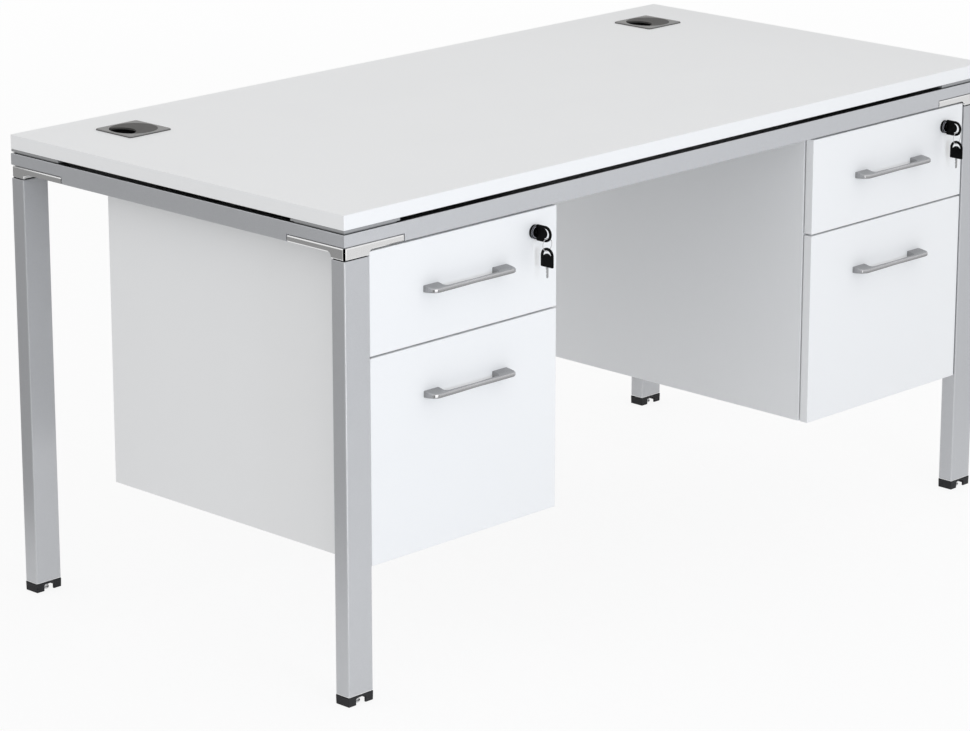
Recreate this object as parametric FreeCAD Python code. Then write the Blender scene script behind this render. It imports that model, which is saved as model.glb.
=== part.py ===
import FreeCAD, Part
import math
import os

# Two-pedestal office desk. Lengths are in millimetres.
# X runs along the width, +Y points to the back, and +Z is up from the floor.

# Desk top
desk_width = 1500.0
desk_depth = 750.0
desk_height = 750.0
top_thickness = 23.0

# Legs: upright rectangular tubes at the four corners
leg_width = 50.0
leg_depth = 28.0
leg_wall = 2.0
leg_corner_radius = 2.0

# Rails: rectangular tubes with mitred ends, round the whole frame
rail_width = 28.0
rail_height = 30.0
rail_wall = 2.0

# Corner castings: a cap on each leg, with two arms let into the rails
casting_drop = 9.5
casting_arm_length = 120.0
casting_arm_height = 9.7
casting_arm_depth = 4.0
casting_web = 1.8
casting_fillet = 8.2
casting_gap = 0.8
casting_spigot_length = 40.0
casting_spigot_wall = 3.0
spigot_clearance = 0.2

# Spacer plates: stepped angle plates that hold the top clear of the frame
spacer_height = 6.5
spacer_lip = 4.0
spacer_length = 113.0
spacer_inset = 0.6
spacer_step = 4.0

# Feet: caps in the lower ends of the legs, each with a levelling screw
foot_height = 15.0
foot_plug_length = 25.0
foot_plug_clearance = 0.2
foot_notch_side_gap = 1.5
foot_notch_top_gap = 2.0
leveller_diameter = 10.0
leveller_clearance = 0.05
leveller_end_gap = 2.0
leveller_lift = 0.5
leveller_pad_diameter = 16.0
leveller_pad_height = 3.5
leveller_hex_width = 13.0
leveller_hex_height = 5.0

# Cable ports: a square flange with a turning lid, which has a round bite for the cables
port_inset_left = 155.0
port_inset_right = 142.0
port_inset_back = 112.6
port_lid_diameter = 76.0
port_lid_thickness = 3.0
port_lid_clearance = 0.3
port_ledge = 2.0
port_tube_wall = 1.4
port_tube_clearance = 0.3
port_tube_end_gap = 3.0
port_flange_margin = 2.5
port_flange_height = 2.5
port_flange_radius = 4.0
port_flange_bevel = 1.2
port_bite_radius = 28.0
port_bite_offset = 31.0

# Pedestals: board cabinets hung under the top, close to the front legs
pedestal_width = 394.0
pedestal_depth = 579.0
pedestal_height = 479.0
pedestal_leg_gap = 2.0
panel_thickness = 16.0
hanger_side_inset = 40.0
hanger_end_inset = 60.0
hanger_depth = 40.0
hanger_sheet = 2.0
screw_diameter = 4.5
screw_bite = 12.0
screw_head_diameter = 9.0
screw_head_height = 3.0
screw_end_inset = 40.0

# Drawers: overlay fronts, folded steel trays and a pair of runners each
front_web_gap = 0.5
front_thickness = 16.0
front_gap = 3.0
front_top_gap = 3.5
front_split_gap = 3.0
upper_front_height = 158.0
tray_sheet = 1.2
tray_floor_gap = 12.0
tray_back_gap = 47.0
tray_lock_gap = 5.5
lower_tray_top_gap = 65.0
runner_space = 13.0
runner_nest = 5.0
runner_end_gap = 17.0
runner_height = 45.0
runner_sheet = 1.2
runner_clearance = 0.3
runner_lift = 12.0

# Handles: flat bows with broad feet
handle_length = 176.0
handle_height = 10.5
handle_finger_gap = 17.5
handle_bar_depth = 7.0
handle_foot_width = 31.0
handle_end_radius = 9.5
handle_inner_radius = 8.0
handle_edge_radius = 2.5
handle_drop = 76.5

# Locks: a case in the upper drawer front, with a turning barrel and a cam behind
lock_edge_inset = 49.5
lock_drop = 32.5
lock_barrel_diameter = 12.0
lock_barrel_clearance = 0.05
lock_case_wall = 2.0
lock_case_tail = 14.0
lock_hole_clearance = 0.1
lock_rim_margin = 3.0
lock_rim_height = 5.0
lock_rim_bevel = 1.0
cam_length = 26.0
cam_width = 12.0
cam_thickness = 2.5
cam_gap = 0.5
cam_pocket_clearance = 1.5

# Keys: a plastic bow with a crescent hole, on a steel blade, and a wire ring for the spare
key_bow_width = 25.0
key_bow_length = 30.0
key_bow_thickness = 3.0
key_rim = 4.0
key_hole_depth = 5.0
key_hole_shift = 4.5
key_blade_length = 17.0
key_blade_width = 5.0
key_blade_thickness = 2.0
key_slot_clearance = 0.15
key_seat_gap = 0.5
ring_wire_diameter = 1.2
ring_inner_radius = 9.2
ring_top_play = 0.9
ring_key_play = 0.4
ring_station_share = 0.5

# How far each cut runs past the piece
cut_overrun = 1.0

# Levels and lines of the frame
left_edge = -desk_width / 2
front_edge = -desk_depth / 2
top_underside = desk_height - top_thickness
frame_top = top_underside - spacer_height
rail_bottom = frame_top - rail_height
leg_top = rail_bottom - casting_drop
leveller_pad_top = leveller_lift + leveller_pad_height
leveller_hex_top = leveller_pad_top + leveller_hex_height

# Cable port sizes that follow the lid
port_seat_radius = port_lid_diameter / 2 + port_lid_clearance
port_tube_radius = port_seat_radius + port_tube_wall
port_hole_radius = port_tube_radius + port_tube_clearance
port_flange_half = port_hole_radius + port_flange_margin

# Levels and lines of the left pedestal
pedestal_top = rail_bottom - front_top_gap
pedestal_bottom = pedestal_top - pedestal_height
pedestal_left = left_edge + leg_width + pedestal_leg_gap
pedestal_right = pedestal_left + pedestal_width
pedestal_middle = (pedestal_left + pedestal_right) / 2
pedestal_pitch = -2 * pedestal_middle
front_face = front_edge + casting_web + front_web_gap
front_back = front_face + front_thickness
carcass_front = front_back + front_gap
carcass_back = front_face + pedestal_depth
inner_back = carcass_back - panel_thickness
inner_left = pedestal_left + panel_thickness
inner_right = pedestal_right - panel_thickness
inner_bottom = pedestal_bottom + panel_thickness
inner_top = pedestal_top - panel_thickness
hanger_length = pedestal_width - 2 * hanger_side_inset
upper_front_bottom = pedestal_top - upper_front_height
lower_front_top = upper_front_bottom - front_split_gap

# Lock and key lines of the left pedestal
lock_case_radius = lock_barrel_diameter / 2 + lock_case_wall
lock_rim_radius = lock_case_radius + lock_rim_margin
lock_x = pedestal_right - lock_edge_inset
lock_z = pedestal_top - lock_drop
lock_face = front_face - lock_rim_height
case_end = front_back + lock_case_tail
key_base = lock_face - key_seat_gap
key_tip = key_base - key_bow_length
key_bow_centre = key_tip + key_bow_width / 2
key_hole_radius = key_bow_width / 2 - key_rim
ring_station = ring_station_share * key_hole_radius
ring_line = key_bow_centre - ring_station

# Drawer trays and runners
tray_end = inner_back - tray_back_gap
upper_tray_bottom = upper_front_bottom + tray_floor_gap
upper_tray_top = lock_z - lock_case_radius - tray_lock_gap
lower_tray_bottom = inner_bottom + tray_floor_gap
lower_tray_top = lower_front_top - lower_tray_top_gap
runner_end = tray_end - runner_end_gap
runner_reach = (runner_space + runner_nest) / 2

# The origin is on the floor, under the middle of the whole footprint, spare keys included
front_reach = min(key_tip, ring_line - key_bow_width / 2)
origin_shift = FreeCAD.Vector(0, -(front_reach + desk_depth / 2) / 2, 0)

x_axis = FreeCAD.Vector(1, 0, 0)
y_axis = FreeCAD.Vector(0, 1, 0)
z_axis = FreeCAD.Vector(0, 0, 1)
centre_point = FreeCAD.Vector(0, 0, 0)
parallel_share = 0.99
arc_middle_share = 1 - math.sqrt(0.5)


def point(x, y, z):
    """Place in the desk's frame."""
    return FreeCAD.Vector(x, y, z)


def block(low, high):
    """Box between two opposite corners."""
    size = high - low
    return Part.makeBox(size.x, size.y, size.z, low)


def round_edges(solid, axis, radius):
    """Round every straight edge of a box that runs along the axis."""
    edges = []
    for edge in solid.Edges:
        direction = edge.tangentAt(edge.FirstParameter)
        if abs(direction.dot(axis)) > parallel_share:
            edges.append(edge)
    return solid.makeFillet(radius, edges)


def prism(corners, height):
    """Closed outline of straight sides, drawn out along a direction."""
    outline = Part.makePolygon(corners + corners[:1])
    return Part.Face(outline).extrude(height)


def outline_face(edges):
    """Flat face inside a closed ring of edges given in any order."""
    return Part.Face(Part.Wire(Part.__sortEdges__(edges)))


def hex_prism(centre, width, height):
    """Upright hexagon of the given width across its flats."""
    radius = width / math.sqrt(3.0)
    turns = [math.radians(60 * step) for step in range(6)]
    corners = [centre + point(radius * math.cos(turn), radius * math.sin(turn), 0) for turn in turns]
    return prism(corners, z_axis * height)


def desk_corners():
    """Name and mirror signs of each corner of the desk."""
    for y_name, y_sign in (("front", -1), ("back", 1)):
        for x_name, x_sign in (("left", -1), ("right", 1)):
            yield f"{y_name}_{x_name}", x_sign, y_sign


def at_corner(shape, x_sign, y_sign):
    """Copy of a front left piece, mirrored to another corner."""
    copy = shape.copy()
    if x_sign > 0:
        copy = copy.mirror(centre_point, x_axis)
    if y_sign > 0:
        copy = copy.mirror(centre_point, y_axis)
    return copy


def at_all_corners(shape):
    """One compound of a front left piece and its three mirror copies."""
    return Part.makeCompound([at_corner(shape, x_sign, y_sign) for _, x_sign, y_sign in desk_corners()])


def leg():
    """Rectangular tube between the foot cap and the corner casting."""
    low = point(left_edge, front_edge, foot_height)
    high = point(left_edge + leg_width, front_edge + leg_depth, leg_top)
    inset = point(leg_wall, leg_wall, -cut_overrun)
    tube = round_edges(block(low, high), z_axis, leg_corner_radius)
    return tube.cut(block(low + inset, high - inset))


def leg_plug(clearance, bottom, top):
    """Block that fits inside the leg tube."""
    inset = leg_wall + clearance
    low = point(left_edge + inset, front_edge + inset, bottom)
    high = point(left_edge + leg_width - inset, front_edge + leg_depth - inset, top)
    return block(low, high)


def leg_centre(height):
    """Place on the leg's middle line at a height."""
    return point(left_edge + leg_width / 2, front_edge + leg_depth / 2, height)


def casting_arms(gap):
    """The two arms of a corner casting, or their notches when the gap is above zero."""
    low = point(left_edge - gap, front_edge - gap, rail_bottom - gap)
    reach = casting_arm_length + gap
    depth = casting_arm_depth + gap
    top = rail_bottom + casting_arm_height + gap
    along_x = block(low, point(left_edge + reach, front_edge + depth, top))
    along_y = block(low, point(left_edge + depth, front_edge + reach, top))
    return along_x.fuse(along_y)


def casting_web_between(along, across, leg_side, thickness):
    """Curved web in the corner between the leg's side and the underside of an arm."""
    start = point(left_edge, front_edge, rail_bottom) + along * leg_side
    far = start + along * casting_fillet
    below = start - z_axis * casting_fillet
    middle = start + (along - z_axis) * (casting_fillet * arc_middle_share)
    curve = Part.Arc(far, middle, below).toShape()
    sides = [curve, Part.makeLine(below, start), Part.makeLine(start, far)]
    return outline_face(sides).extrude(across * thickness)


def corner_casting():
    """Cap, arms, webs and the hollow spigot that goes down into the leg."""
    low = point(left_edge, front_edge, leg_top)
    high = point(left_edge + leg_width, front_edge + leg_depth, rail_bottom)
    cap = round_edges(block(low, high), z_axis, leg_corner_radius)
    spigot_bottom = leg_top - casting_spigot_length
    spigot = leg_plug(spigot_clearance, spigot_bottom, leg_top)
    hollow = leg_plug(spigot_clearance + casting_spigot_wall, spigot_bottom - cut_overrun, leg_top)
    front_web = casting_web_between(x_axis, y_axis, leg_width, casting_web)
    side_web = casting_web_between(y_axis, x_axis, leg_depth, casting_arm_depth)
    return cap.fuse([casting_arms(0), spigot.cut(hollow), front_web, side_web]).removeSplitter()


def mitred_bar(start, along, across, length, inset):
    """Bar along one side of the frame, cut at 45 degrees at both ends."""
    near = start + (along + across) * inset + z_axis * (rail_bottom + inset)
    span = length - 2 * inset
    width = rail_width - 2 * inset
    far = near + along * span
    corners = [near, far, far + (across - along) * width, near + (across + along) * width]
    return prism(corners, z_axis * (rail_height - 2 * inset))


def rails():
    """The four rails, each a mitred tube with notches for the casting arms."""
    notches = at_all_corners(casting_arms(casting_gap))
    sides = {
        "front": (point(left_edge, front_edge, 0), x_axis, y_axis, desk_width),
        "back": (point(left_edge, -front_edge, 0), x_axis, -y_axis, desk_width),
        "left": (point(left_edge, front_edge, 0), y_axis, x_axis, desk_depth),
        "right": (point(-left_edge, front_edge, 0), y_axis, -x_axis, desk_depth),
    }
    shapes = {}
    for name, side in sides.items():
        hollow = mitred_bar(*side, rail_wall)
        shapes[f"rail_{name}"] = mitred_bar(*side, 0).cut([hollow] + notches.Solids)
    return shapes


def angle_plate(near, far, bottom, top):
    """L-shaped plate on the frame's corner, as wide as the rails."""
    corner = point(left_edge, front_edge, bottom)
    width = rail_width
    steps = [(near, near), (far, near), (far, width), (width, width), (width, far), (near, far)]
    return prism([corner + point(x, y, 0) for x, y in steps], z_axis * (top - bottom))


def spacer_plate():
    """A wide lip under the top, on a foot that stands back."""
    lip_bottom = top_underside - spacer_lip
    lip = angle_plate(spacer_inset, spacer_length, lip_bottom, top_underside)
    foot = angle_plate(spacer_step, spacer_length - spacer_step, frame_top, lip_bottom)
    return foot.fuse(lip).removeSplitter()


def foot_cap():
    """Moulded cap with a plug in the leg, a notch across its foot and a bore for the screw."""
    low = point(left_edge, front_edge, 0)
    cap = round_edges(block(low, low + point(leg_width, leg_depth, foot_height)), z_axis, leg_corner_radius)
    plug_top = foot_height + foot_plug_length
    plug = leg_plug(foot_plug_clearance, foot_height, plug_top)
    half = leveller_pad_diameter / 2 + foot_notch_side_gap
    notch_top = leveller_hex_top + foot_notch_top_gap
    notch_low = leg_centre(-cut_overrun) - point(half, leg_depth, 0)
    notch = block(notch_low, leg_centre(notch_top) + point(half, leg_depth, 0))
    bore_radius = leveller_diameter / 2 + leveller_clearance
    bore = Part.makeCylinder(bore_radius, plug_top + cut_overrun, leg_centre(0))
    return cap.fuse(plug).removeSplitter().cut([notch, bore])


def levelling_screw():
    """Stud with a hexagon and a round pad, wound fully in."""
    pad = Part.makeCylinder(leveller_pad_diameter / 2, leveller_pad_height, leg_centre(leveller_lift))
    nut = hex_prism(leg_centre(leveller_pad_top), leveller_hex_width, leveller_hex_height)
    stud_length = foot_height + foot_plug_length - leveller_end_gap - leveller_pad_top
    stud = Part.makeCylinder(leveller_diameter / 2, stud_length, leg_centre(leveller_pad_top))
    return pad.fuse([nut, stud]).removeSplitter()


def port_places():
    """Side and centre of each cable port, on the top's upper face."""
    y = -front_edge - port_inset_back
    return {
        "left": point(left_edge + port_inset_left, y, desk_height),
        "right": point(-left_edge - port_inset_right, y, desk_height),
    }


def port_ring(centre):
    """Square flange on the top, with a tube that goes down through it and a ledge for the lid."""
    half = point(port_flange_half, port_flange_half, 0)
    flange = block(centre - half, centre + half + z_axis * port_flange_height)
    flange = round_edges(flange, z_axis, port_flange_radius)
    rim = max(flange.Faces, key=lambda face: face.CenterOfMass.z)
    flange = flange.makeChamfer(port_flange_bevel, rim.Edges)
    tube_length = top_thickness - port_tube_end_gap
    tube_bottom = centre - z_axis * tube_length
    tube = Part.makeCylinder(port_tube_radius, tube_length, tube_bottom)
    seat_depth = port_lid_thickness + port_lid_clearance
    seat_bottom = centre + z_axis * (port_flange_height - seat_depth)
    seat = Part.makeCylinder(port_seat_radius, seat_depth + cut_overrun, seat_bottom)
    bore_radius = port_lid_diameter / 2 - port_ledge
    bore = Part.makeCylinder(bore_radius, tube_length + port_flange_height, tube_bottom)
    return flange.fuse(tube).cut([seat, bore])


def port_lid(centre):
    """Disc in the flange with a round bite out of its left side."""
    bottom = centre + z_axis * (port_flange_height - port_lid_thickness)
    disc = Part.makeCylinder(port_lid_diameter / 2, port_lid_thickness, bottom)
    bite_start = bottom - point(port_bite_offset, 0, cut_overrun)
    bite = Part.makeCylinder(port_bite_radius, port_lid_thickness + 2 * cut_overrun, bite_start)
    return disc.cut(bite)


def hanger_lines():
    """Front line of each hanger over the left pedestal."""
    return (carcass_front + hanger_end_inset, carcass_back - hanger_end_inset - hanger_depth)


def hanger(line):
    """Steel channel between the cabinet and the desk top, open towards the back."""
    low = point(pedestal_middle - hanger_length / 2, line, pedestal_top)
    high = point(pedestal_middle + hanger_length / 2, line + hanger_depth, top_underside)
    cut_low = low + point(-cut_overrun, hanger_sheet, hanger_sheet)
    cut_high = high + point(cut_overrun, cut_overrun, -hanger_sheet)
    return block(low, high).cut(block(cut_low, cut_high))


def hanger_screws(line):
    """Two screws up into the desk top and two down into the cabinet."""
    middle = point(pedestal_middle, line + hanger_depth / 2, 0)
    reach = hanger_length / 2 - screw_end_inset
    levels = ((top_underside - hanger_sheet, z_axis), (pedestal_top + hanger_sheet, -z_axis))
    screws = []
    for side in (-1, 1):
        for level, way in levels:
            seat = middle + point(side * reach, 0, level)
            head = Part.makeCylinder(screw_head_diameter / 2, screw_head_height, seat, -way)
            shank = Part.makeCylinder(screw_diameter / 2, hanger_sheet + screw_bite, seat, way)
            screws.append(head.fuse(shank).removeSplitter())
    return screws


def cam_pocket():
    """Recess in the cabinet lid that the cam turns up into."""
    swing = math.hypot(cam_length, cam_width / 2) + cam_pocket_clearance
    start = case_end + cam_gap - cam_pocket_clearance
    end = case_end + cam_gap + cam_thickness + cam_pocket_clearance
    low = point(lock_x - swing, start, inner_top - cut_overrun)
    return block(low, point(lock_x + cam_width, end, lock_z + swing))


def cabinet(screws):
    """Boards of the left pedestal: sides, base, lid and back."""
    left_low = point(pedestal_left, carcass_front, pedestal_bottom)
    left = block(left_low, point(inner_left, carcass_back, pedestal_top))
    right = left.translated(x_axis * (inner_right - pedestal_left))
    base_low = point(inner_left, carcass_front, pedestal_bottom)
    base = block(base_low, point(inner_right, inner_back, inner_bottom))
    lid_low = point(inner_left, carcass_front, inner_top)
    lid = block(lid_low, point(inner_right, inner_back, pedestal_top))
    back_low = point(inner_left, inner_back, pedestal_bottom)
    back = block(back_low, point(inner_right, carcass_back, pedestal_top))
    return {
        "pedestal_sides": Part.makeCompound([left, right]),
        "pedestal_base": base,
        "pedestal_lid": lid.cut([cam_pocket()] + screws),
        "pedestal_back": back,
    }


def channel(wall, way, bottom, top):
    """Runner member: a channel on its side, with its web at the wall and its flanges along the way."""
    far = wall + way * runner_reach
    body = block(point(min(wall, far), carcass_front, bottom), point(max(wall, far), runner_end, top))
    inner_wall = wall + way * runner_sheet
    mouth = far + way * cut_overrun
    low = point(min(inner_wall, mouth), carcass_front - cut_overrun, bottom + runner_sheet)
    high = point(max(inner_wall, mouth), runner_end + cut_overrun, top - runner_sheet)
    return body.cut(block(low, high))


def cabinet_runners(tray_bottom):
    """The two fixed runner members of a drawer."""
    bottom = tray_bottom + runner_lift
    walls = ((inner_left, 1), (inner_right, -1))
    return [channel(wall, way, bottom, bottom + runner_height) for wall, way in walls]


def drawer_slides(tray_bottom):
    """The two sliding runner members on the sides of a tray, nested in the fixed ones."""
    inset = runner_sheet + runner_clearance
    bottom = tray_bottom + runner_lift + inset
    top = tray_bottom + runner_lift + runner_height - inset
    walls = ((inner_left + runner_space, -1), (inner_right - runner_space, 1))
    return Part.makeCompound([channel(wall, way, bottom, top) for wall, way in walls])


def tray(bottom, top):
    """Folded steel tray, open at the top, fixed to the back of the drawer front."""
    low = point(inner_left + runner_space, front_back, bottom)
    high = point(inner_right - runner_space, tray_end, top)
    hollow_low = low + point(tray_sheet, tray_sheet, tray_sheet)
    hollow_high = high + point(-tray_sheet, -tray_sheet, cut_overrun)
    return block(low, high).cut(block(hollow_low, hollow_high))


def drawer_front(bottom, top):
    """Plain board that covers the cabinet's edges."""
    return block(point(pedestal_left, front_face, bottom), point(pedestal_right, front_back, top))


def handle_end(at, side):
    """Edges of one end of the handle's outline: its foot, its round outer corner and its inner corner."""
    bar_front = -handle_finger_gap - handle_bar_depth
    bar_back = -handle_finger_gap
    outer = handle_length / 2
    inner = outer - handle_foot_width
    outer_turn = handle_end_radius * arc_middle_share
    inner_turn = handle_inner_radius * arc_middle_share
    outer_start = at(side * outer, bar_front + handle_end_radius)
    outer_middle = at(side * (outer - outer_turn), bar_front + outer_turn)
    outer_stop = at(side * (outer - handle_end_radius), bar_front)
    inner_start = at(side * inner, bar_back + handle_inner_radius)
    inner_middle = at(side * (inner - inner_turn), bar_back + inner_turn)
    inner_stop = at(side * (inner - handle_inner_radius), bar_back)
    edges = [
        Part.makeLine(at(side * outer, 0), outer_start),
        Part.Arc(outer_start, outer_middle, outer_stop).toShape(),
        Part.makeLine(at(side * inner, 0), inner_start),
        Part.Arc(inner_start, inner_middle, inner_stop).toShape(),
        Part.makeLine(at(side * outer, 0), at(side * inner, 0)),
    ]
    return edges, outer_stop, inner_stop


def handle(height):
    """Flat bow: broad feet on the front, round ends and a straight bar between."""
    middle = point(pedestal_middle, front_face, height - handle_height / 2)

    def at(x, y):
        return middle + point(x, y, 0)

    left_edges, left_outer, left_inner = handle_end(at, -1)
    right_edges, right_outer, right_inner = handle_end(at, 1)
    bars = [Part.makeLine(left_outer, right_outer), Part.makeLine(left_inner, right_inner)]
    bow = outline_face(left_edges + right_edges + bars).extrude(z_axis * handle_height)
    bar_middle = front_face - handle_finger_gap - handle_bar_depth / 2
    level = [edge for edge in bow.Edges if edge.BoundBox.ZLength < handle_height / 2]
    front_edges = [edge for edge in level if edge.BoundBox.YMin < bar_middle]
    return bow.makeFillet(handle_edge_radius, front_edges)


def lock_round(start, end, radius):
    """Cylinder on the lock's axis between two stations along Y."""
    return Part.makeCylinder(radius, end - start, point(lock_x, start, lock_z), y_axis)


def lock_case():
    """Round case with a bevelled rim in front of the drawer front."""
    rim = lock_round(lock_face, front_face, lock_rim_radius)
    front = min(rim.Faces, key=lambda face: face.CenterOfMass.y)
    rim = rim.makeChamfer(lock_rim_bevel, front.Edges)
    body = lock_round(front_face, case_end, lock_case_radius)
    bore_radius = lock_barrel_diameter / 2 + lock_barrel_clearance
    bore = lock_round(lock_face - cut_overrun, case_end + cut_overrun, bore_radius)
    return rim.fuse(body).cut(bore)


def lock_barrel():
    """Turning barrel with a key slot in its face and a flat cam on its tail."""
    cam_start = case_end + cam_gap
    cam_end = cam_start + cam_thickness
    barrel = lock_round(lock_face, cam_end, lock_barrel_diameter / 2)
    cam_low = point(lock_x - cam_length, cam_start, lock_z - cam_width / 2)
    cam = block(cam_low, point(lock_x, cam_end, lock_z + cam_width / 2))
    slot_x = key_blade_thickness / 2 + key_slot_clearance
    slot_z = key_blade_width / 2 + key_slot_clearance
    slot_end = key_base + key_blade_length + key_slot_clearance
    slot_low = point(lock_x - slot_x, lock_face - cut_overrun, lock_z - slot_z)
    slot = block(slot_low, point(lock_x + slot_x, slot_end, lock_z + slot_z))
    return barrel.fuse(cam).removeSplitter().cut(slot)


def key_round(radius, station):
    """Disc of the key's thickness, at a station along the key."""
    return Part.makeCylinder(radius, key_bow_thickness, point(-key_bow_thickness / 2, station, 0), x_axis)


def key_at_origin():
    """Key with its bow towards -Y, its blade towards +Y and the bow's base at the origin."""
    radius = key_bow_width / 2
    half = key_bow_thickness / 2
    middle = radius - key_bow_length
    shoulders = block(point(-half, middle, -radius), point(half, 0, radius))
    bow = shoulders.fuse(key_round(radius, middle)).removeSplitter()
    inner_radius = key_hole_radius + key_hole_shift - key_hole_depth
    crescent = key_round(key_hole_radius, middle).cut(key_round(inner_radius, middle + key_hole_shift))
    half_blade = point(key_blade_thickness / 2, 0, key_blade_width / 2)
    blade = block(-half_blade, half_blade + y_axis * key_blade_length)
    return bow.cut(crescent).fuse(blade).removeSplitter()


def key_in_lock():
    """First key, pushed home in the barrel with its bow upright."""
    return key_at_origin().translated(point(lock_x, key_base, lock_z))


def ring_centre():
    """Middle of the key ring, which hangs in the lower end of the first key's hole."""
    rim_top = -math.sqrt(key_hole_radius ** 2 - ring_station ** 2)
    return point(lock_x, ring_line, lock_z + rim_top + ring_top_play - ring_inner_radius)


def key_ring():
    """Closed ring of round wire, square to the first key."""
    wire = ring_wire_diameter / 2
    return Part.makeTorus(ring_inner_radius + wire, wire, ring_centre(), y_axis)


def spare_key():
    """Second key, hanging on the ring with its blade down."""
    key = key_at_origin()
    key.rotate(centre_point, x_axis, -90)
    bow_top = ring_centre() - z_axis * (ring_inner_radius - ring_key_play - key_rim)
    return key.translated(bow_top - z_axis * key_bow_length)


def desktop(screws):
    """Board with two cable holes and blind holes for the hanger screws."""
    board = block(point(left_edge, front_edge, top_underside), point(-left_edge, -front_edge, desk_height))
    holes = []
    for centre in port_places().values():
        start = centre - z_axis * (top_thickness + cut_overrun)
        holes.append(Part.makeCylinder(port_hole_radius, top_thickness + 2 * cut_overrun, start))
    return board.cut(holes + screws)


def drawer(level, front_bottom, front_top, tray_bottom, tray_top):
    """The pieces of one drawer, by name."""
    return {
        f"{level}_drawer_front": drawer_front(front_bottom, front_top),
        f"{level}_drawer_tray": tray(tray_bottom, tray_top),
        f"{level}_drawer_slides": drawer_slides(tray_bottom),
        f"{level}_drawer_handle": handle(front_top - handle_drop),
    }


def pedestal(screws):
    """Every piece of the left pedestal, by name."""
    pieces = cabinet(screws)
    pieces.update(drawer("upper", upper_front_bottom, pedestal_top, upper_tray_bottom, upper_tray_top))
    pieces.update(drawer("lower", pedestal_bottom, lower_front_top, lower_tray_bottom, lower_tray_top))
    hole_radius = lock_case_radius + lock_hole_clearance
    hole = lock_round(front_face - cut_overrun, front_back + cut_overrun, hole_radius)
    pieces["upper_drawer_front"] = pieces["upper_drawer_front"].cut(hole)
    pieces["lock_case"] = lock_case()
    pieces["lock_barrel"] = lock_barrel()
    pieces["key"] = key_in_lock()
    pieces["key_ring"] = key_ring()
    pieces["spare_key"] = spare_key()
    return pieces


def both_sides(shapes):
    """The given left pedestal shapes and their copies in the right pedestal."""
    return shapes + [shape.translated(x_axis * pedestal_pitch) for shape in shapes]


def frame_nodes():
    """Rails, legs, castings, feet and spacers, by name."""
    nodes = rails()
    for name, x_sign, y_sign in desk_corners():
        nodes[f"leg_{name}"] = at_corner(leg(), x_sign, y_sign)
        nodes[f"corner_casting_{name}"] = at_corner(corner_casting(), x_sign, y_sign)
        nodes[f"levelling_screw_{name}"] = at_corner(levelling_screw(), x_sign, y_sign)
    nodes["spacer_plates"] = at_all_corners(spacer_plate())
    nodes["foot_caps"] = at_all_corners(foot_cap())
    return nodes


def top_nodes(screws):
    """The desk top and its cable ports, by name."""
    nodes = {"desktop": desktop(screws)}
    for side, centre in port_places().items():
        nodes[f"cable_port_ring_{side}"] = port_ring(centre)
        nodes[f"cable_port_lid_{side}"] = port_lid(centre)
    return nodes


def pedestal_nodes(screws):
    """Both pedestals, what they hang from and their runners, by name."""
    hangers = [shape.cut(screws) for shape in both_sides([hanger(line) for line in hanger_lines()])]
    runners = cabinet_runners(upper_tray_bottom) + cabinet_runners(lower_tray_bottom)
    nodes = {
        "pedestal_hangers": Part.makeCompound(hangers),
        "fixing_screws": Part.makeCompound(screws),
        "cabinet_runners": Part.makeCompound(both_sides(runners)),
    }
    for name, shape in pedestal(screws).items():
        nodes[f"left_{name}"], nodes[f"right_{name}"] = both_sides([shape])
    return nodes


def desk():
    """Every node of the desk, by name."""
    screws = both_sides([screw for line in hanger_lines() for screw in hanger_screws(line)])
    return {**top_nodes(screws), **frame_nodes(), **pedestal_nodes(screws)}


os.makedirs("parts", exist_ok=True)
for node_name, node_shape in desk().items():
    node_shape.translated(origin_shift).exportStep(f"parts/{node_name}.step")
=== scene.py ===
"""Two-pedestal office desk: finished meshes, finishes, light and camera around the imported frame.

Sizes are in metres and angles in radians. X runs to the right, Y to the back and Z up.
"""
import logging
import math
from collections.abc import Callable, Mapping, Sequence
from dataclasses import dataclass, replace
from enum import Enum, StrEnum
from functools import cache
from typing import Any

import bmesh
import bpy
import numpy as np
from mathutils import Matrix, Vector
from mathutils.geometry import tessellate_polygon


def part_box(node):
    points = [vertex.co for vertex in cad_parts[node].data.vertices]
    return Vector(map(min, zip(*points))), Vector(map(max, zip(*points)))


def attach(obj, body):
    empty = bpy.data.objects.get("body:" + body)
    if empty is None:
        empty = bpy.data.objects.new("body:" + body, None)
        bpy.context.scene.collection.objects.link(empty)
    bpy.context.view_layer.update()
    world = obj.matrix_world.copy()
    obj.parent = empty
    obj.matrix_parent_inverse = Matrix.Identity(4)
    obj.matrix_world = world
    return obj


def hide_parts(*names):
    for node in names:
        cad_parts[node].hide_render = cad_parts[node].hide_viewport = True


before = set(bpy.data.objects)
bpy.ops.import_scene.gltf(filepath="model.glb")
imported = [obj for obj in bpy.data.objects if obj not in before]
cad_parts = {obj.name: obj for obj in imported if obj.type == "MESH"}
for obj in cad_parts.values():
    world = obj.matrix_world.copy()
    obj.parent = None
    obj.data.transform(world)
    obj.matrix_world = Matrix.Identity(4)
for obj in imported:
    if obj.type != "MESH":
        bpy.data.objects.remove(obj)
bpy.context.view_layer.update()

BAND_ATTRIBUTE = "edge_band"  # each face's share of edge band, painted shade and painted highlight
# Shares of band (edge banding on boards, painted shade and painted highlight elsewhere) on a prism's walls,
# low end and high end
WALL_BAND = (1.0, 0.0, 0.0)
LOW_BAND = (0.0, 1.0, 0.0)
FULL_BAND = (1.0, 1.0, 1.0)
NO_BAND = (0.0, 0.0, 0.0)
RIGHT_ANGLE = math.pi / 2
ROUND_POINTS = 72  # on a full circle
CORNER_STEPS = 6  # round an outline's corner
EDGE_STEPS = 4  # round an eased edge
MERGE_DISTANCE = 1e-6
SHARP_ANGLE = math.radians(38)
Array = np.ndarray
Point = Sequence[float]
log = logging.getLogger("desk")


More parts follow.
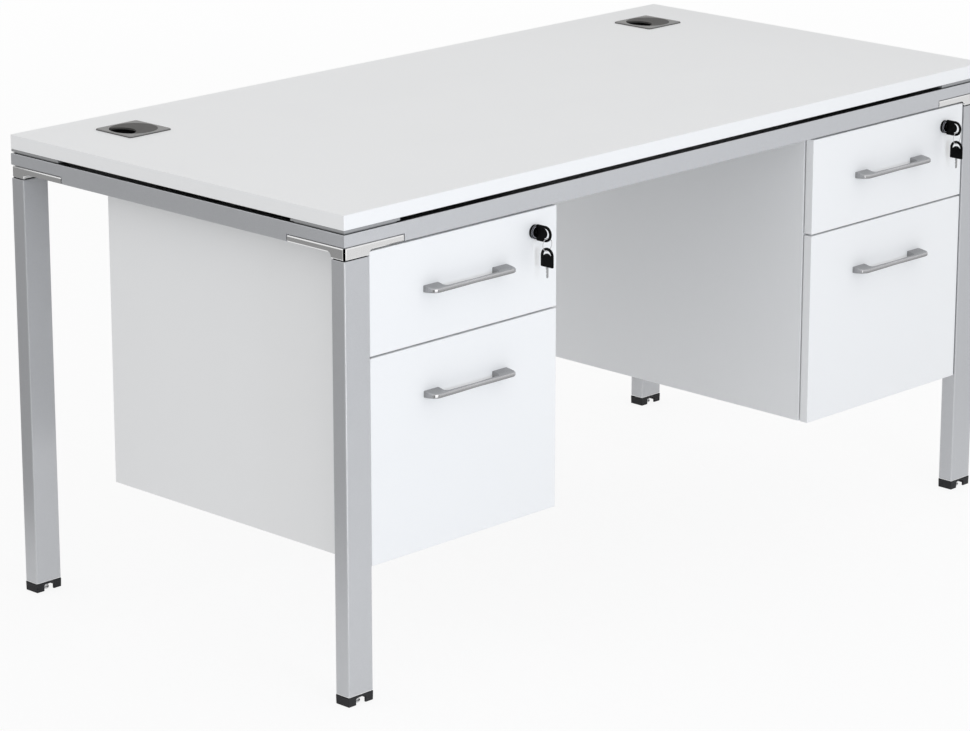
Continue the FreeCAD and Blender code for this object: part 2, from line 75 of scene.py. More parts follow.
class Axis(Enum):
    """Direction that an outline is drawn along; the value orders (a, b, station) as X, Y, Z."""

    X = (2, 0, 1)
    Y = (0, 2, 1)
    Z = (0, 1, 2)

    def place(self, across: Array, station: Array) -> Array:
        """Turn outline points and stations along the axis into points in the desk's frame.

        Args:
            across: Outline points, with the last dimension of size two.
            station: Stations along the axis, of a shape that broadcasts with the points.

        Returns:
            Points with the last dimension of size three.
        """
        parts = np.broadcast_arrays(across[..., 0], across[..., 1], station)
        return np.stack([parts[index] for index in self.value], axis=-1)


@dataclass(frozen=True)
class Outline:
    """Closed flat loop with, at each point, the direction out of the material and an ease for its edges."""

    points: Array
    outward: Array
    ease: Array

    @classmethod
    def of(cls, points: Array, outward: Array) -> "Outline":
        """Loop whose edges are all eased alike."""
        return cls(points, outward, np.ones(len(points)))

    def eased(self, ease: Array) -> "Outline":
        """Same loop with another ease at each point."""
        return Outline(self.points, self.outward, ease)

    def as_hole(self) -> "Outline":
        """Same loop with the material outside it."""
        return Outline(self.points, -self.outward, self.ease)

    def turned(self, origin: Array, across: Array, along: Array) -> "Outline":
        """Carry the loop to another place.

        Args:
            origin: Where the loop's own origin goes.
            across: Unit direction that its first coordinate takes.
            along: Unit direction that its second coordinate takes.

        Returns:
            The loop in its new place.
        """
        axes = np.stack([across, along])
        return Outline(origin + self.points @ axes, self.outward @ axes, self.ease)


@dataclass(frozen=True)
class Shell:
    """Skin of points and blocks of faces, each block with its share of band: edge banding, painted shade and
    painted highlight.
    """

    points: Array
    blocks: tuple[tuple[Array, float | Array], ...]

    def moved(self, shape: Callable[[Array], Array]) -> "Shell":
        """Same skin with its points changed by a function of the whole array."""
        return Shell(shape(self.points), self.blocks)


def rounded_polygon(corners: Sequence[Point], radii: float | Sequence[float],
                    steps: int = CORNER_STEPS) -> Outline:
    """Round the corners of a polygon that runs anticlockwise.

    At each corner an arc of the given radius touches both sides. Its centre stands off the incoming side by
    the radius, inside where the corner is convex and outside where it is hollow, and the outward direction
    turns evenly from one side's normal to the next one's.

    Args:
        corners: Corner points.
        radii: One radius, or one for each corner.
        steps: Steps along each arc.

    Returns:
        The rounded loop.
    """
    corner = np.asarray(corners, float)
    radius = np.broadcast_to(np.asarray(radii, float), len(corner))
    before = corner - np.roll(corner, 1, axis=0)
    before = before / np.linalg.norm(before, axis=1, keepdims=True)
    after = np.roll(before, -1, axis=0)
    cross = before[:, 0] * after[:, 1] - before[:, 1] * after[:, 0]
    turn = np.arctan2(cross, (before * after).sum(axis=1))
    normal = np.stack([before[:, 1], -before[:, 0]], axis=1)
    signed = radius * np.sign(turn)
    reach = radius * np.tan(np.abs(turn) / 2)
    centre = corner - before * reach[:, None] - normal * signed[:, None]
    start = np.arctan2(normal[:, 1], normal[:, 0])
    angle = start[:, None] + turn[:, None] * np.linspace(0, 1, steps + 1)
    outward = np.stack([np.cos(angle), np.sin(angle)], axis=-1)
    points = centre[:, None] + outward * signed[:, None, None]
    return Outline.of(points.reshape(-1, 2), outward.reshape(-1, 2))


def rectangle(low: Point, high: Point, radius: float, steps: int = CORNER_STEPS) -> Outline:
    """Rectangle between two opposite corners, with rounded corners."""
    corners = [(low[0], low[1]), (high[0], low[1]), (high[0], high[1]), (low[0], high[1])]
    return rounded_polygon(corners, radius, steps)


def arc(centre: Point, radius: float, start: float, stop: float, count: int, side: float = 1.0) -> Outline:
    """Points on a circle between two angles, with the outward direction along or against the radius.

    Args:
        centre: The circle's centre.
        radius: Its radius.
        start: First angle.
        stop: Last angle, left out so that arcs join up.
        count: Number of points.
        side: 1 where the material is inside the circle, -1 where it is outside.

    Returns:
        A stretch of a loop.
    """
    angle = np.linspace(start, stop, count, endpoint=False)
    spoke = np.stack([np.cos(angle), np.sin(angle)], axis=1)
    return Outline.of(np.asarray(centre, float) + radius * spoke, side * spoke)


def joined(*stretches: Outline) -> Outline:
    """One loop of several stretches, end to end."""
    return Outline(
        np.concatenate([part.points for part in stretches]),
        np.concatenate([part.outward for part in stretches]),
        np.concatenate([part.ease for part in stretches]),
    )


def circle(centre: Point, radius: float, count: int = ROUND_POINTS) -> Outline:
    """Full circle."""
    return arc(centre, radius, 0.0, math.tau, count)


def rounding(steps: int, sweep: float = RIGHT_ANGLE) -> tuple[Array, Array]:
    """Round edge of radius 1 in even turns t: 1 - sin t is how far it lies in, and 1 - cos t how far along.

    Args:
        steps: Steps of the edge.
        sweep: Angle that it turns through.

    Returns:
        Both distances at each turn.
    """
    turn = np.linspace(0.0, sweep, steps + 1)
    return 1 - np.sin(turn), 1 - np.cos(turn)


def smooth_step(share: Array) -> Array:
    """Share that starts and ends gently: three times its square less twice its cube."""
    return share * share * (3 - 2 * share)


def middle_of(low: Vector, high: Vector) -> Array:
    """Middle of the box between two opposite corners."""
    return np.add(low, high) / 2


def grid_faces(rows: int, columns: int, close_rows: bool = False) -> Array:
    """Four-sided faces of a grid whose rows are closed loops, with its points numbered row by row.

    Args:
        rows: Number of rows.
        columns: Points in each row.
        close_rows: Whether the last row joins the first.

    Returns:
        One line of four point numbers for each face.
    """
    row = np.arange(rows if close_rows else rows - 1)[:, None]
    column = np.arange(columns)[None, :]
    next_row = (row + 1) % rows * columns
    next_column = (column + 1) % columns
    row = row * columns
    corners = [row + column, row + next_column, next_row + next_column, next_row + column]
    return np.stack(corners, axis=-1).reshape(-1, 4)


def skin(points: Array, close_rows: bool, capped: bool, band: float | Array = 0.0) -> Shell:
    """Skin over a grid of points whose rows are closed loops.

    Args:
        points: Grid of shape rows, columns, three.
        close_rows: Whether the last loop joins the first.
        capped: Whether the first and last loops are filled with one face each.
        band: Share of band (edge banding, painted shade, painted highlight) on the skin, or an array that
            broadcasts to rows and columns of faces.

    Returns:
        The closed skin.
    """
    rows, columns = points.shape[:2]
    faces = grid_faces(rows, columns, close_rows)
    blocks = [(faces, np.broadcast_to(band, (len(faces) // columns, columns)).ravel())]
    if capped:
        first = np.arange(columns)[None, :]
        blocks.append((np.concatenate([first[:, ::-1], first + (rows - 1) * columns]), 0.0))
    return Shell(points.reshape(-1, 3), tuple(blocks))


def carried(outline: Outline, profile: Array, axis: Axis) -> Shell:
    """Carry a profile round an outline: each row of it is the outline, drawn in by an inset, at a station.

    Args:
        outline: The loop that the profile goes round.
        profile: Rows of inset and station, of which the first and the last are capped.
        axis: Direction of the stations.

    Returns:
        The closed skin.
    """
    inset = profile[:, 0, None, None] * outline.ease[None, :, None]
    across = outline.points[None] - outline.outward[None] * inset
    return skin(axis.place(across, profile[:, 1, None]), False, True)


def rounded_prism(loops: Sequence[Outline], axis: Axis, low: float, high: float, edge: float,
                  bands: tuple[float | Array, float, float] = WALL_BAND) -> Shell:
    """Draw loops out along an axis, with every edge eased.

    Near each end the wall follows a quarter circle: at turn t it is drawn in by edge times (1 - sin t) and
    stands edge times (1 - cos t) from the end. The ends are flat, with a hole for each loop after the first.

    Args:
        loops: Outer loop, then the holes.
        axis: Direction that the loops are drawn along.
        low: First station.
        high: Last station.
        edge: Radius of the eased edges.
        bands: Shares of band on the walls, as for a skin, and on the low end and the high end.

    Returns:
        The closed skin.
    """
    inward, along = (part[:, None] for part in rounding(EDGE_STEPS))
    points, blocks, rings = [], [], []
    count = 0
    for loop in loops:
        radius = edge * loop.ease[None, :]
        inset = radius * np.concatenate([inward, inward[::-1]])
        rise = radius * along
        station = np.concatenate([low + rise, high - rise[::-1]])
        across = loop.points[None] - loop.outward[None] * inset[..., None]
        wall = axis.place(across, station)
        rows, columns = wall.shape[:2]
        band = np.broadcast_to(bands[0], (rows - 1, columns)).ravel()
        blocks.append((grid_faces(rows, columns) + count, band))
        rings.append((across[0], count + np.arange(columns), (rows - 1) * columns))
        points.append(wall.reshape(-1, 3))
        count += rows * columns
    order = np.concatenate([ring[1] for ring in rings])
    rise = np.concatenate([np.full(len(ring[1]), ring[2]) for ring in rings])
    if len(loops) == 1:
        ends = np.arange(len(order))[None, :]
    else:
        flat = [np.column_stack([ring[0], np.zeros(len(ring[0]))]).tolist() for ring in rings]
        ends = np.array(tessellate_polygon(flat))
    blocks.append((order[ends][:, ::-1], bands[1]))
    blocks.append(((order + rise)[ends], bands[2]))
    return Shell(np.concatenate(points), tuple(blocks))


def board(low: Point, high: Point, axis: Axis, edge: float, holes: Sequence[Outline] = (),
          bands: tuple[float, float, float] = WALL_BAND) -> Shell:
    """Board between two opposite corners, with all its edges eased.

    Args:
        low: Lowest corner.
        high: Highest corner.
        axis: Direction of the board's thickness.
        edge: Radius of its edges.
        holes: Loops of holes through it.
        bands: Shares of band on its edges, its low face and its high face.

    Returns:
        The closed skin.
    """
    a, b, station = (axis.value.index(index) for index in range(3))
    outer = rectangle((low[a], low[b]), (high[a], high[b]), edge, EDGE_STEPS)
    loops = [outer, *(hole.as_hole() for hole in holes)]
    return rounded_prism(loops, axis, low[station], high[station], edge, bands=bands)


def lathe(profile: Array, centre: Point, axis: Axis, closed: bool, band: float | Array = 0.0) -> Shell:
    """Turn a profile about an axis: each row of it is a circle of that radius at that station.

    Args:
        profile: Rows of radius and station.
        centre: The axis's place, in the two other coordinates.
        axis: The axis.
        closed: Whether the profile is a loop; otherwise it starts and ends on the axis.
        band: Share of band, as for a skin.

    Returns:
        The closed skin.
    """
    spoke = circle((0.0, 0.0), 1.0).points
    across = np.asarray(centre, float) + profile[:, 0, None, None] * spoke[None]
    return skin(axis.place(across, profile[:, 1, None]), closed, False, band)


class Grain(Enum):
    """Fine structure of a surface."""

    CLOUD = "cloud"
    FLAKE = "flake"


class Socket(Enum):
    """Type of a node group's input or output."""

    COLOUR = "NodeSocketColor"
    VALUE = "NodeSocketFloat"
    VECTOR = "NodeSocketVector"


def feed(tree: bpy.types.NodeTree, node: bpy.types.Node, inputs: Mapping[str | int, Any]) -> None:
    """Link outputs to a node's inputs, or set values on them.

    Args:
        tree: The tree that the node is in.
        node: The node to feed.
        inputs: The output or the value for each input, by the input's name or number.
    """
    for label, source in inputs.items():
        if isinstance(source, bpy.types.NodeSocket):
            tree.links.new(source, node.inputs[label])
        else:
            node.inputs[label].default_value = source


def add_node(tree: bpy.types.NodeTree, kind: str, inputs: Mapping[str | int, Any] | None = None,
             **options: Any) -> bpy.types.Node:
    """Add a node, set its options and feed its inputs.

    Args:
        tree: The tree to add it to.
        kind: Its type.
        inputs: The output or the value for each input, by the input's name or number.
        options: Its other settings, which are made before it is fed.

    Returns:
        The new node.
    """
    node = tree.nodes.new(kind)
    for label, value in options.items():
        setattr(node, label, value)
    feed(tree, node, inputs or {})
    return node


class Effects:
    """Node groups that several finishes share, each made once."""

    CLOUD_DETAIL = 3.0
    SMUDGE_DETAIL = 5.0
    SMUDGE_DISTORTION = 0.6
    SMUDGE_LIMITS = (0.42, 0.68)

    @staticmethod
    def _start(name: str, inputs: Mapping[str, Socket], output: tuple[str, Socket]) -> tuple[
            bpy.types.ShaderNodeTree, bpy.types.NodeOutputs, bpy.types.Node]:
        """Make a group with its named sockets and its end nodes.

        Args:
            name: The group's name.
            inputs: Type of each input, by name.
            output: Name and type of the output.

        Returns:
            The new group, the sockets that bring its inputs in, and the node that takes its output.
        """
        group = bpy.data.node_groups.new(name, "ShaderNodeTree")
        for label, kind in inputs.items():
            group.interface.new_socket(label, in_out="INPUT", socket_type=kind.value)
        group.interface.new_socket(output[0], in_out="OUTPUT", socket_type=output[1].value)
        given = group.nodes.new("NodeGroupInput").outputs
        return group, given, group.nodes.new("NodeGroupOutput")

    @classmethod
    @cache
    def grain(cls, kind: Grain) -> bpy.types.ShaderNodeTree:
        """Group that gives a value from 0 to 1 for each place, from noise or from flat cells.

        Args:
            kind: Cloudy noise, or flakes.

        Returns:
            The group.
        """
        inputs = {"Place": Socket.VECTOR, "Stretch": Socket.VECTOR, "Scale": Socket.VALUE}
        group, given, end = cls._start(f"{kind.value}_grain", inputs, ("Value", Socket.VALUE))
        factors = {0: given["Place"], 1: given["Stretch"]}
        place = add_node(group, "ShaderNodeVectorMath", factors, operation="MULTIPLY").outputs["Vector"]
        pattern = {"Vector": place, "Scale": given["Scale"]}
        if kind is Grain.CLOUD:
            cloud = add_node(group, "ShaderNodeTexNoise", {**pattern, "Detail": cls.CLOUD_DETAIL})
            value = cloud.outputs["Fac"]
        else:
            cells = add_node(group, "ShaderNodeTexVoronoi", pattern).outputs["Color"]
            value = add_node(group, "ShaderNodeSeparateColor", {"Color": cells}).outputs["Red"]
        feed(group, end, {"Value": value})
        return group

    @classmethod
    @cache
    def handling(cls) -> bpy.types.ShaderNodeTree:
        """Group that gives a mask of the soft smudges that hands and cloths leave.

        Returns:
            The group.
        """
        inputs = {"Place": Socket.VECTOR, "Scale": Socket.VALUE}
        group, given, end = cls._start("handling", inputs, ("Mask", Socket.VALUE))
        noise = add_node(group, "ShaderNodeTexNoise", {
            "Vector": given["Place"],
            "Scale": given["Scale"],
            "Detail": cls.SMUDGE_DETAIL,
            "Distortion": cls.SMUDGE_DISTORTION,
        })
        low, high = cls.SMUDGE_LIMITS
        limits = {"Value": noise.outputs["Fac"], "From Min": low, "From Max": high}
        mask = add_node(group, "ShaderNodeMapRange", limits, interpolation_type="SMOOTHSTEP")
        feed(group, end, {"Mask": mask.outputs["Result"]})
        return group

    @classmethod
    @cache
    def edge_band(cls) -> bpy.types.ShaderNodeTree:
        """Group that turns a colour into another one by each face's share of band: edge banding on boards,
        painted shade and painted highlight on other pieces.

        Returns:
            The group.
        """
        inputs = {"Face Colour": Socket.COLOUR, "Band Colour": Socket.COLOUR}
        group, given, end = cls._start("edge_band", inputs, ("Colour", Socket.COLOUR))
        share = add_node(group, "ShaderNodeAttribute", attribute_name=BAND_ATTRIBUTE).outputs["Fac"]
        colours = {"Factor": share, "A": given["Face Colour"], "B": given["Band Colour"]}
        mix = add_node(group, "ShaderNodeMix", colours, data_type="RGBA")
        feed(group, end, {"Colour": mix.outputs["Result"]})
        return group


@dataclass(frozen=True)
class Finish:
    """Surface finish: its colours, gloss and fine structure. Scales are in cycles per metre."""

    name: str
    slot: str
    colour: tuple[float, float, float]
    roughness: float
    metallic: float = 0.0
    specular: float = 0.5
    grain: Grain = Grain.CLOUD
    grain_scale: float = 900.0
    stretch: tuple[float, float, float] = (1.0, 1.0, 1.0)
    tone_swing: float = 0.03
    gloss_swing: float = 0.06
    bump_depth: float = 0.00002
    smudge_scale: float = 7.0
    smudge_swing: float = 0.05
    band_tone: float = 0.0

    @cache
    def material(self) -> bpy.types.Material:
        """Material of this finish, made on first use.

        Returns:
            A material whose colour, roughness and bump follow the grain and the handling marks.
        """
        material = bpy.data.materials.new(self.name)
        material.use_nodes = True
        tree = material.node_tree
        place = add_node(tree, "ShaderNodeTexCoord").outputs["Object"]
        pattern = {"Place": place, "Stretch": self.stretch, "Scale": self.grain_scale}
        effect = add_node(tree, "ShaderNodeGroup", pattern, node_tree=Effects.grain(self.grain))
        grain = effect.outputs["Value"]
        marks = {"Place": place, "Scale": self.smudge_scale}
        smudge = add_node(tree, "ShaderNodeGroup", marks, node_tree=Effects.handling()).outputs["Mask"]
        bump = add_node(tree, "ShaderNodeBump", {"Height": grain, "Distance": self.bump_depth})
        feed(tree, tree.nodes["Principled BSDF"], {
            "Base Color": self._colour(tree, grain),
            "Metallic": self.metallic,
            "Roughness": self._gloss(tree, grain, smudge),
            "Specular IOR Level": self.specular,
            "Normal": bump.outputs["Normal"],
        })
        return material

    def _tone(self, share: float) -> tuple[float, float, float, float]:
        """The colour made lighter or darker by a share."""
        return (*(min(1.0, part * (1 + share)) for part in self.colour), 1.0)

    def _colour(self, tree: bpy.types.NodeTree, grain: bpy.types.NodeSocket) -> bpy.types.NodeSocket:
        """Let the colour swing between two tones with the grain, and shift on the band: edge banding on
        boards, painted shade and painted highlight on other pieces.

        Args:
            tree: The material's nodes.
            grain: Output that holds the grain's value.

        Returns:
            Output that holds the colour.
        """
        tones = {"Factor": grain, "A": self._tone(-self.tone_swing), "B": self._tone(self.tone_swing)}
        face = add_node(tree, "ShaderNodeMix", tones, data_type="RGBA").outputs["Result"]
        if not self.band_tone:
            return face
        colours = {"Face Colour": face, "Band Colour": self._tone(self.band_tone)}
        return add_node(tree, "ShaderNodeGroup", colours, node_tree=Effects.edge_band()).outputs["Colour"]

    def _gloss(self, tree: bpy.types.NodeTree, grain: bpy.types.NodeSocket,
               smudge: bpy.types.NodeSocket) -> bpy.types.NodeSocket:
        """Let the roughness follow the grain, and rise where the surface was handled.

        Args:
            tree: The material's nodes.
            grain: Output that holds the grain's value.
            smudge: Output that holds the handling mask.

        Returns:
            Output that holds the roughness.
        """
        low, high = self.roughness - self.gloss_swing, self.roughness + self.gloss_swing
        fine = add_node(tree, "ShaderNodeMapRange", {"Value": grain, "To Min": low, "To Max": high})
        factors = {0: smudge, 1: self.smudge_swing, 2: fine.outputs["Result"]}
        return add_node(tree, "ShaderNodeMath", factors, operation="MULTIPLY_ADD").outputs["Value"]


MELAMINE = Finish("white_melamine", "white_board", (0.86, 0.865, 0.87), 0.42, specular=0.35,
                  grain_scale=1100.0, tone_swing=0.012, bump_depth=0.000012, band_tone=0.02)
# Top board: its underside is painted dark grey, painted shade that makes the gap between frame and top look
# black.
TOP_MELAMINE_PAINTED_SHADE = replace(MELAMINE, name="white_melamine_on_grey_backing", band_tone=-0.80)
# Leg coat: its band is painted highlight along the legs' corners and a lighter band along their lower ends.
POWDER_COAT = Finish("silver_powder_coat", "silver_frame", (0.52, 0.528, 0.545), 0.38, metallic=0.55,
                     grain=Grain.FLAKE, grain_scale=2600.0, tone_swing=0.07, gloss_swing=0.08,
                     bump_depth=0.000015, band_tone=1.0)
# Rail coat: a lighter copy of the legs' coat, painted light on the rails, whose band paints the upper face
# near black as painted shade under the top.
RAIL_COAT = replace(POWDER_COAT, name="silver_powder_coat_dark_on_top", colour=(0.56, 0.57, 0.59),
                    band_tone=-0.93)
# Casting: its band is near black, a painted reflection in the corner groove and painted shade on the shim in
# the joint gap.
CASTING = Finish("polished_zinc_casting", "polished_casting", (0.80, 0.80, 0.80), 0.13, metallic=1.0,
                 grain_scale=500.0, tone_swing=0.01, gloss_swing=0.03, bump_depth=0.000004,
                 smudge_scale=60.0, band_tone=-0.97)
SPACER = Finish("spacer_coat", "spacer_grey", (0.30, 0.305, 0.31), 0.5, specular=0.3, grain_scale=1500.0)
FOOT_PLASTIC = Finish("black_moulded_plastic", "black_plastic", (0.020, 0.020, 0.022), 0.5, specular=0.2,
                      grain_scale=2400.0, tone_swing=0.10, bump_depth=0.00004, smudge_scale=40.0)
# Sleeve plastic: near black, painted shade that stands for the dark inside of the cable tube.
SLEEVE_PLASTIC = replace(FOOT_PLASTIC, name="black_sleeve_plastic", colour=(0.006, 0.006, 0.006),
                         roughness=0.6, specular=0.1, bump_depth=0.00003)
# Flange plastic: its band paints the outer side wall darker, painted shade along the flange's sides.
FLANGE_PLASTIC = Finish("grey_moulded_plastic", "grey_plastic", (0.26, 0.257, 0.252), 0.45, specular=0.2,
                        grain_scale=2400.0, tone_swing=0.05, bump_depth=0.00003, smudge_scale=30.0,
                        band_tone=-0.8)
LID_PLASTIC = replace(FLANGE_PLASTIC, name="dark_grey_moulded_plastic", colour=(0.078, 0.075, 0.072),
                      roughness=0.5, specular=0.12, tone_swing=0.06, band_tone=0.0)
# Handle metal: its band is painted highlight along the bar's upper outer edge.
HANDLE_METAL = Finish("satin_handle_metal", "satin_handle", (0.30, 0.30, 0.305), 0.20, metallic=0.9,
                      grain_scale=2200.0, stretch=(0.04, 1.0, 1.0), tone_swing=0.08, gloss_swing=0.06,
                      bump_depth=0.00001, smudge_scale=30.0, band_tone=0.8)
ZINC = Finish("zinc_plated_steel", "zinc_steel", (0.55, 0.55, 0.56), 0.34, metallic=0.9, grain=Grain.FLAKE,
              grain_scale=420.0, tone_swing=0.09, gloss_swing=0.10, bump_depth=0.000006, smudge_scale=25.0)
TRAY_COAT = Finish("grey_coated_sheet", "drawer_steel", (0.42, 0.43, 0.45), 0.45, grain=Grain.FLAKE,
                   grain_scale=1800.0, tone_swing=0.05, bump_depth=0.00002)
# Lock black: its band is a much lighter painted highlight on the case's groove sides and one step of its rim.
LOCK_BLACK = Finish("black_lacquered_lock", "black_lock", (0.002, 0.002, 0.0022), 0.14, specular=0.12,
                    grain_scale=1500.0, tone_swing=0.10, bump_depth=0.000008, smudge_scale=90.0,
                    band_tone=200.0)
KEY_BLACK = Finish("black_key_plastic", "black_key", (0.002, 0.002, 0.0022), 0.30, specular=0.05,
                   grain_scale=2600.0, tone_swing=0.10, bump_depth=0.00002, smudge_scale=90.0)
KEY_STEEL = Finish("nickel_key_steel", "zinc_steel", (0.36, 0.36, 0.36), 0.28, metallic=1.0,
                   grain_scale=1800.0, stretch=(1.0, 1.0, 0.05), tone_swing=0.06, bump_depth=0.000006,
                   smudge_scale=90.0)


def mesh_of(name: str, shells: Sequence[Shell]) -> bpy.types.Mesh:
    """Put skins into one mesh, close their seams and poles and point their faces outwards.

    Args:
        name: The mesh's name.
        shells: The skins.

    Returns:
        The mesh, smooth except along sharp edges.
    """
    starts = np.cumsum([0, *(len(shell.points) for shell in shells)])
    blocks = [(block + start, band) for shell, start in zip(shells, starts) for block, band in shell.blocks]
    faces = [face for block, _ in blocks for face in block.tolist()]
    mesh = bpy.data.meshes.new(name)
    mesh.from_pydata(np.concatenate([shell.points for shell in shells]), [], faces)
    shares = [np.broadcast_to(band, len(block)) for block, band in blocks]
    bands = mesh.attributes.new(BAND_ATTRIBUTE, "FLOAT", "FACE")
    bands.data.foreach_set("value", np.concatenate(shares))
    work = bmesh.new()
    work.from_mesh(mesh)
    bmesh.ops.remove_doubles(work, verts=work.verts, dist=MERGE_DISTANCE)
    bmesh.ops.recalc_face_normals(work, faces=work.faces)
    work.to_mesh(mesh)
    work.free()
    mesh.shade_smooth()
    mesh.set_sharp_from_angle(angle=SHARP_ANGLE)
    return mesh


def add_piece(name: str, shells: Sequence[Shell], finish: Finish, body: str, *nodes: str) -> None:
    """Add a finished piece that stands for CAD nodes and moves with a body.

    Args:
        name: The piece's name.
        shells: Its skins.
        finish: Its finish.
        body: The body that it rides on.
        nodes: The CAD nodes that it stands for.
    """
    mesh = mesh_of(name, shells)
    mesh.materials.append(finish.material())
    piece = bpy.data.objects.new(name, mesh)
    bpy.context.scene.collection.objects.link(piece)
    normals = piece.modifiers.new("even_normals", "WEIGHTED_NORMAL")
    normals.keep_sharp = True
    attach(piece, body)
    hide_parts(*nodes)
    log.info("%s: %d faces on %s", name, len(mesh.polygons), body)


def dress(node: str, finish: Finish) -> None:
    """Give a CAD node that stays as it is a finish.

    Args:
        node: The node's name.
        finish: Its finish.
    """
    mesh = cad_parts[node].data
    mesh.materials.clear()
    mesh.materials.append(finish.material())
    log.info("%s: solid kept, in %s", node, finish.name)


class Row(StrEnum):
    """Front or back of the desk."""

    FRONT = "front"
    BACK = "back"


class Side(StrEnum):
    """Left or right end of the desk."""

    LEFT = "left"
    RIGHT = "right"


class Level(StrEnum):
    """Upper or lower drawer."""

    UPPER = "upper"
    LOWER = "lower"


@dataclass(frozen=True)
class Corner:
    """One corner of the frame, with its own coordinates: inward along X, inward along Y, and up."""

    name: str
    x: float
    y: float
    inward_x: float
    inward_y: float
    leg_width: float
    leg_depth: float
    leg_bottom: float
    leg_top: float

    @classmethod
    def at(cls, row: Row, side: Side) -> "Corner":
        """The corner in that row and at that side.

        Args:
            row: Front or back.
            side: Left or right.

        Returns:
            The corner, at its leg's outer edge.
        """
        name = f"{row}_{side}"
        low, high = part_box(f"leg_{name}")
        right, back = side is Side.RIGHT, row is Row.BACK
        return cls(name, high.x if right else low.x, high.y if back else low.y, -1.0 if right else 1.0,
                   -1.0 if back else 1.0, high.x - low.x, high.y - low.y, low.z, high.z)

    def carry(self, shell: Shell) -> Shell:
        """A skin in this corner's coordinates, carried to the desk's frame."""
        origin, way = np.array([self.x, self.y, 0.0]), (self.inward_x, self.inward_y, 1.0)
        return shell.moved(lambda points: origin + points * way)

    def leg_outline(self, inset: float, radius: float) -> Outline:
        """Cross-section of the leg, drawn in by an inset."""
        return rectangle((inset, inset), (self.leg_width - inset, self.leg_depth - inset), radius)


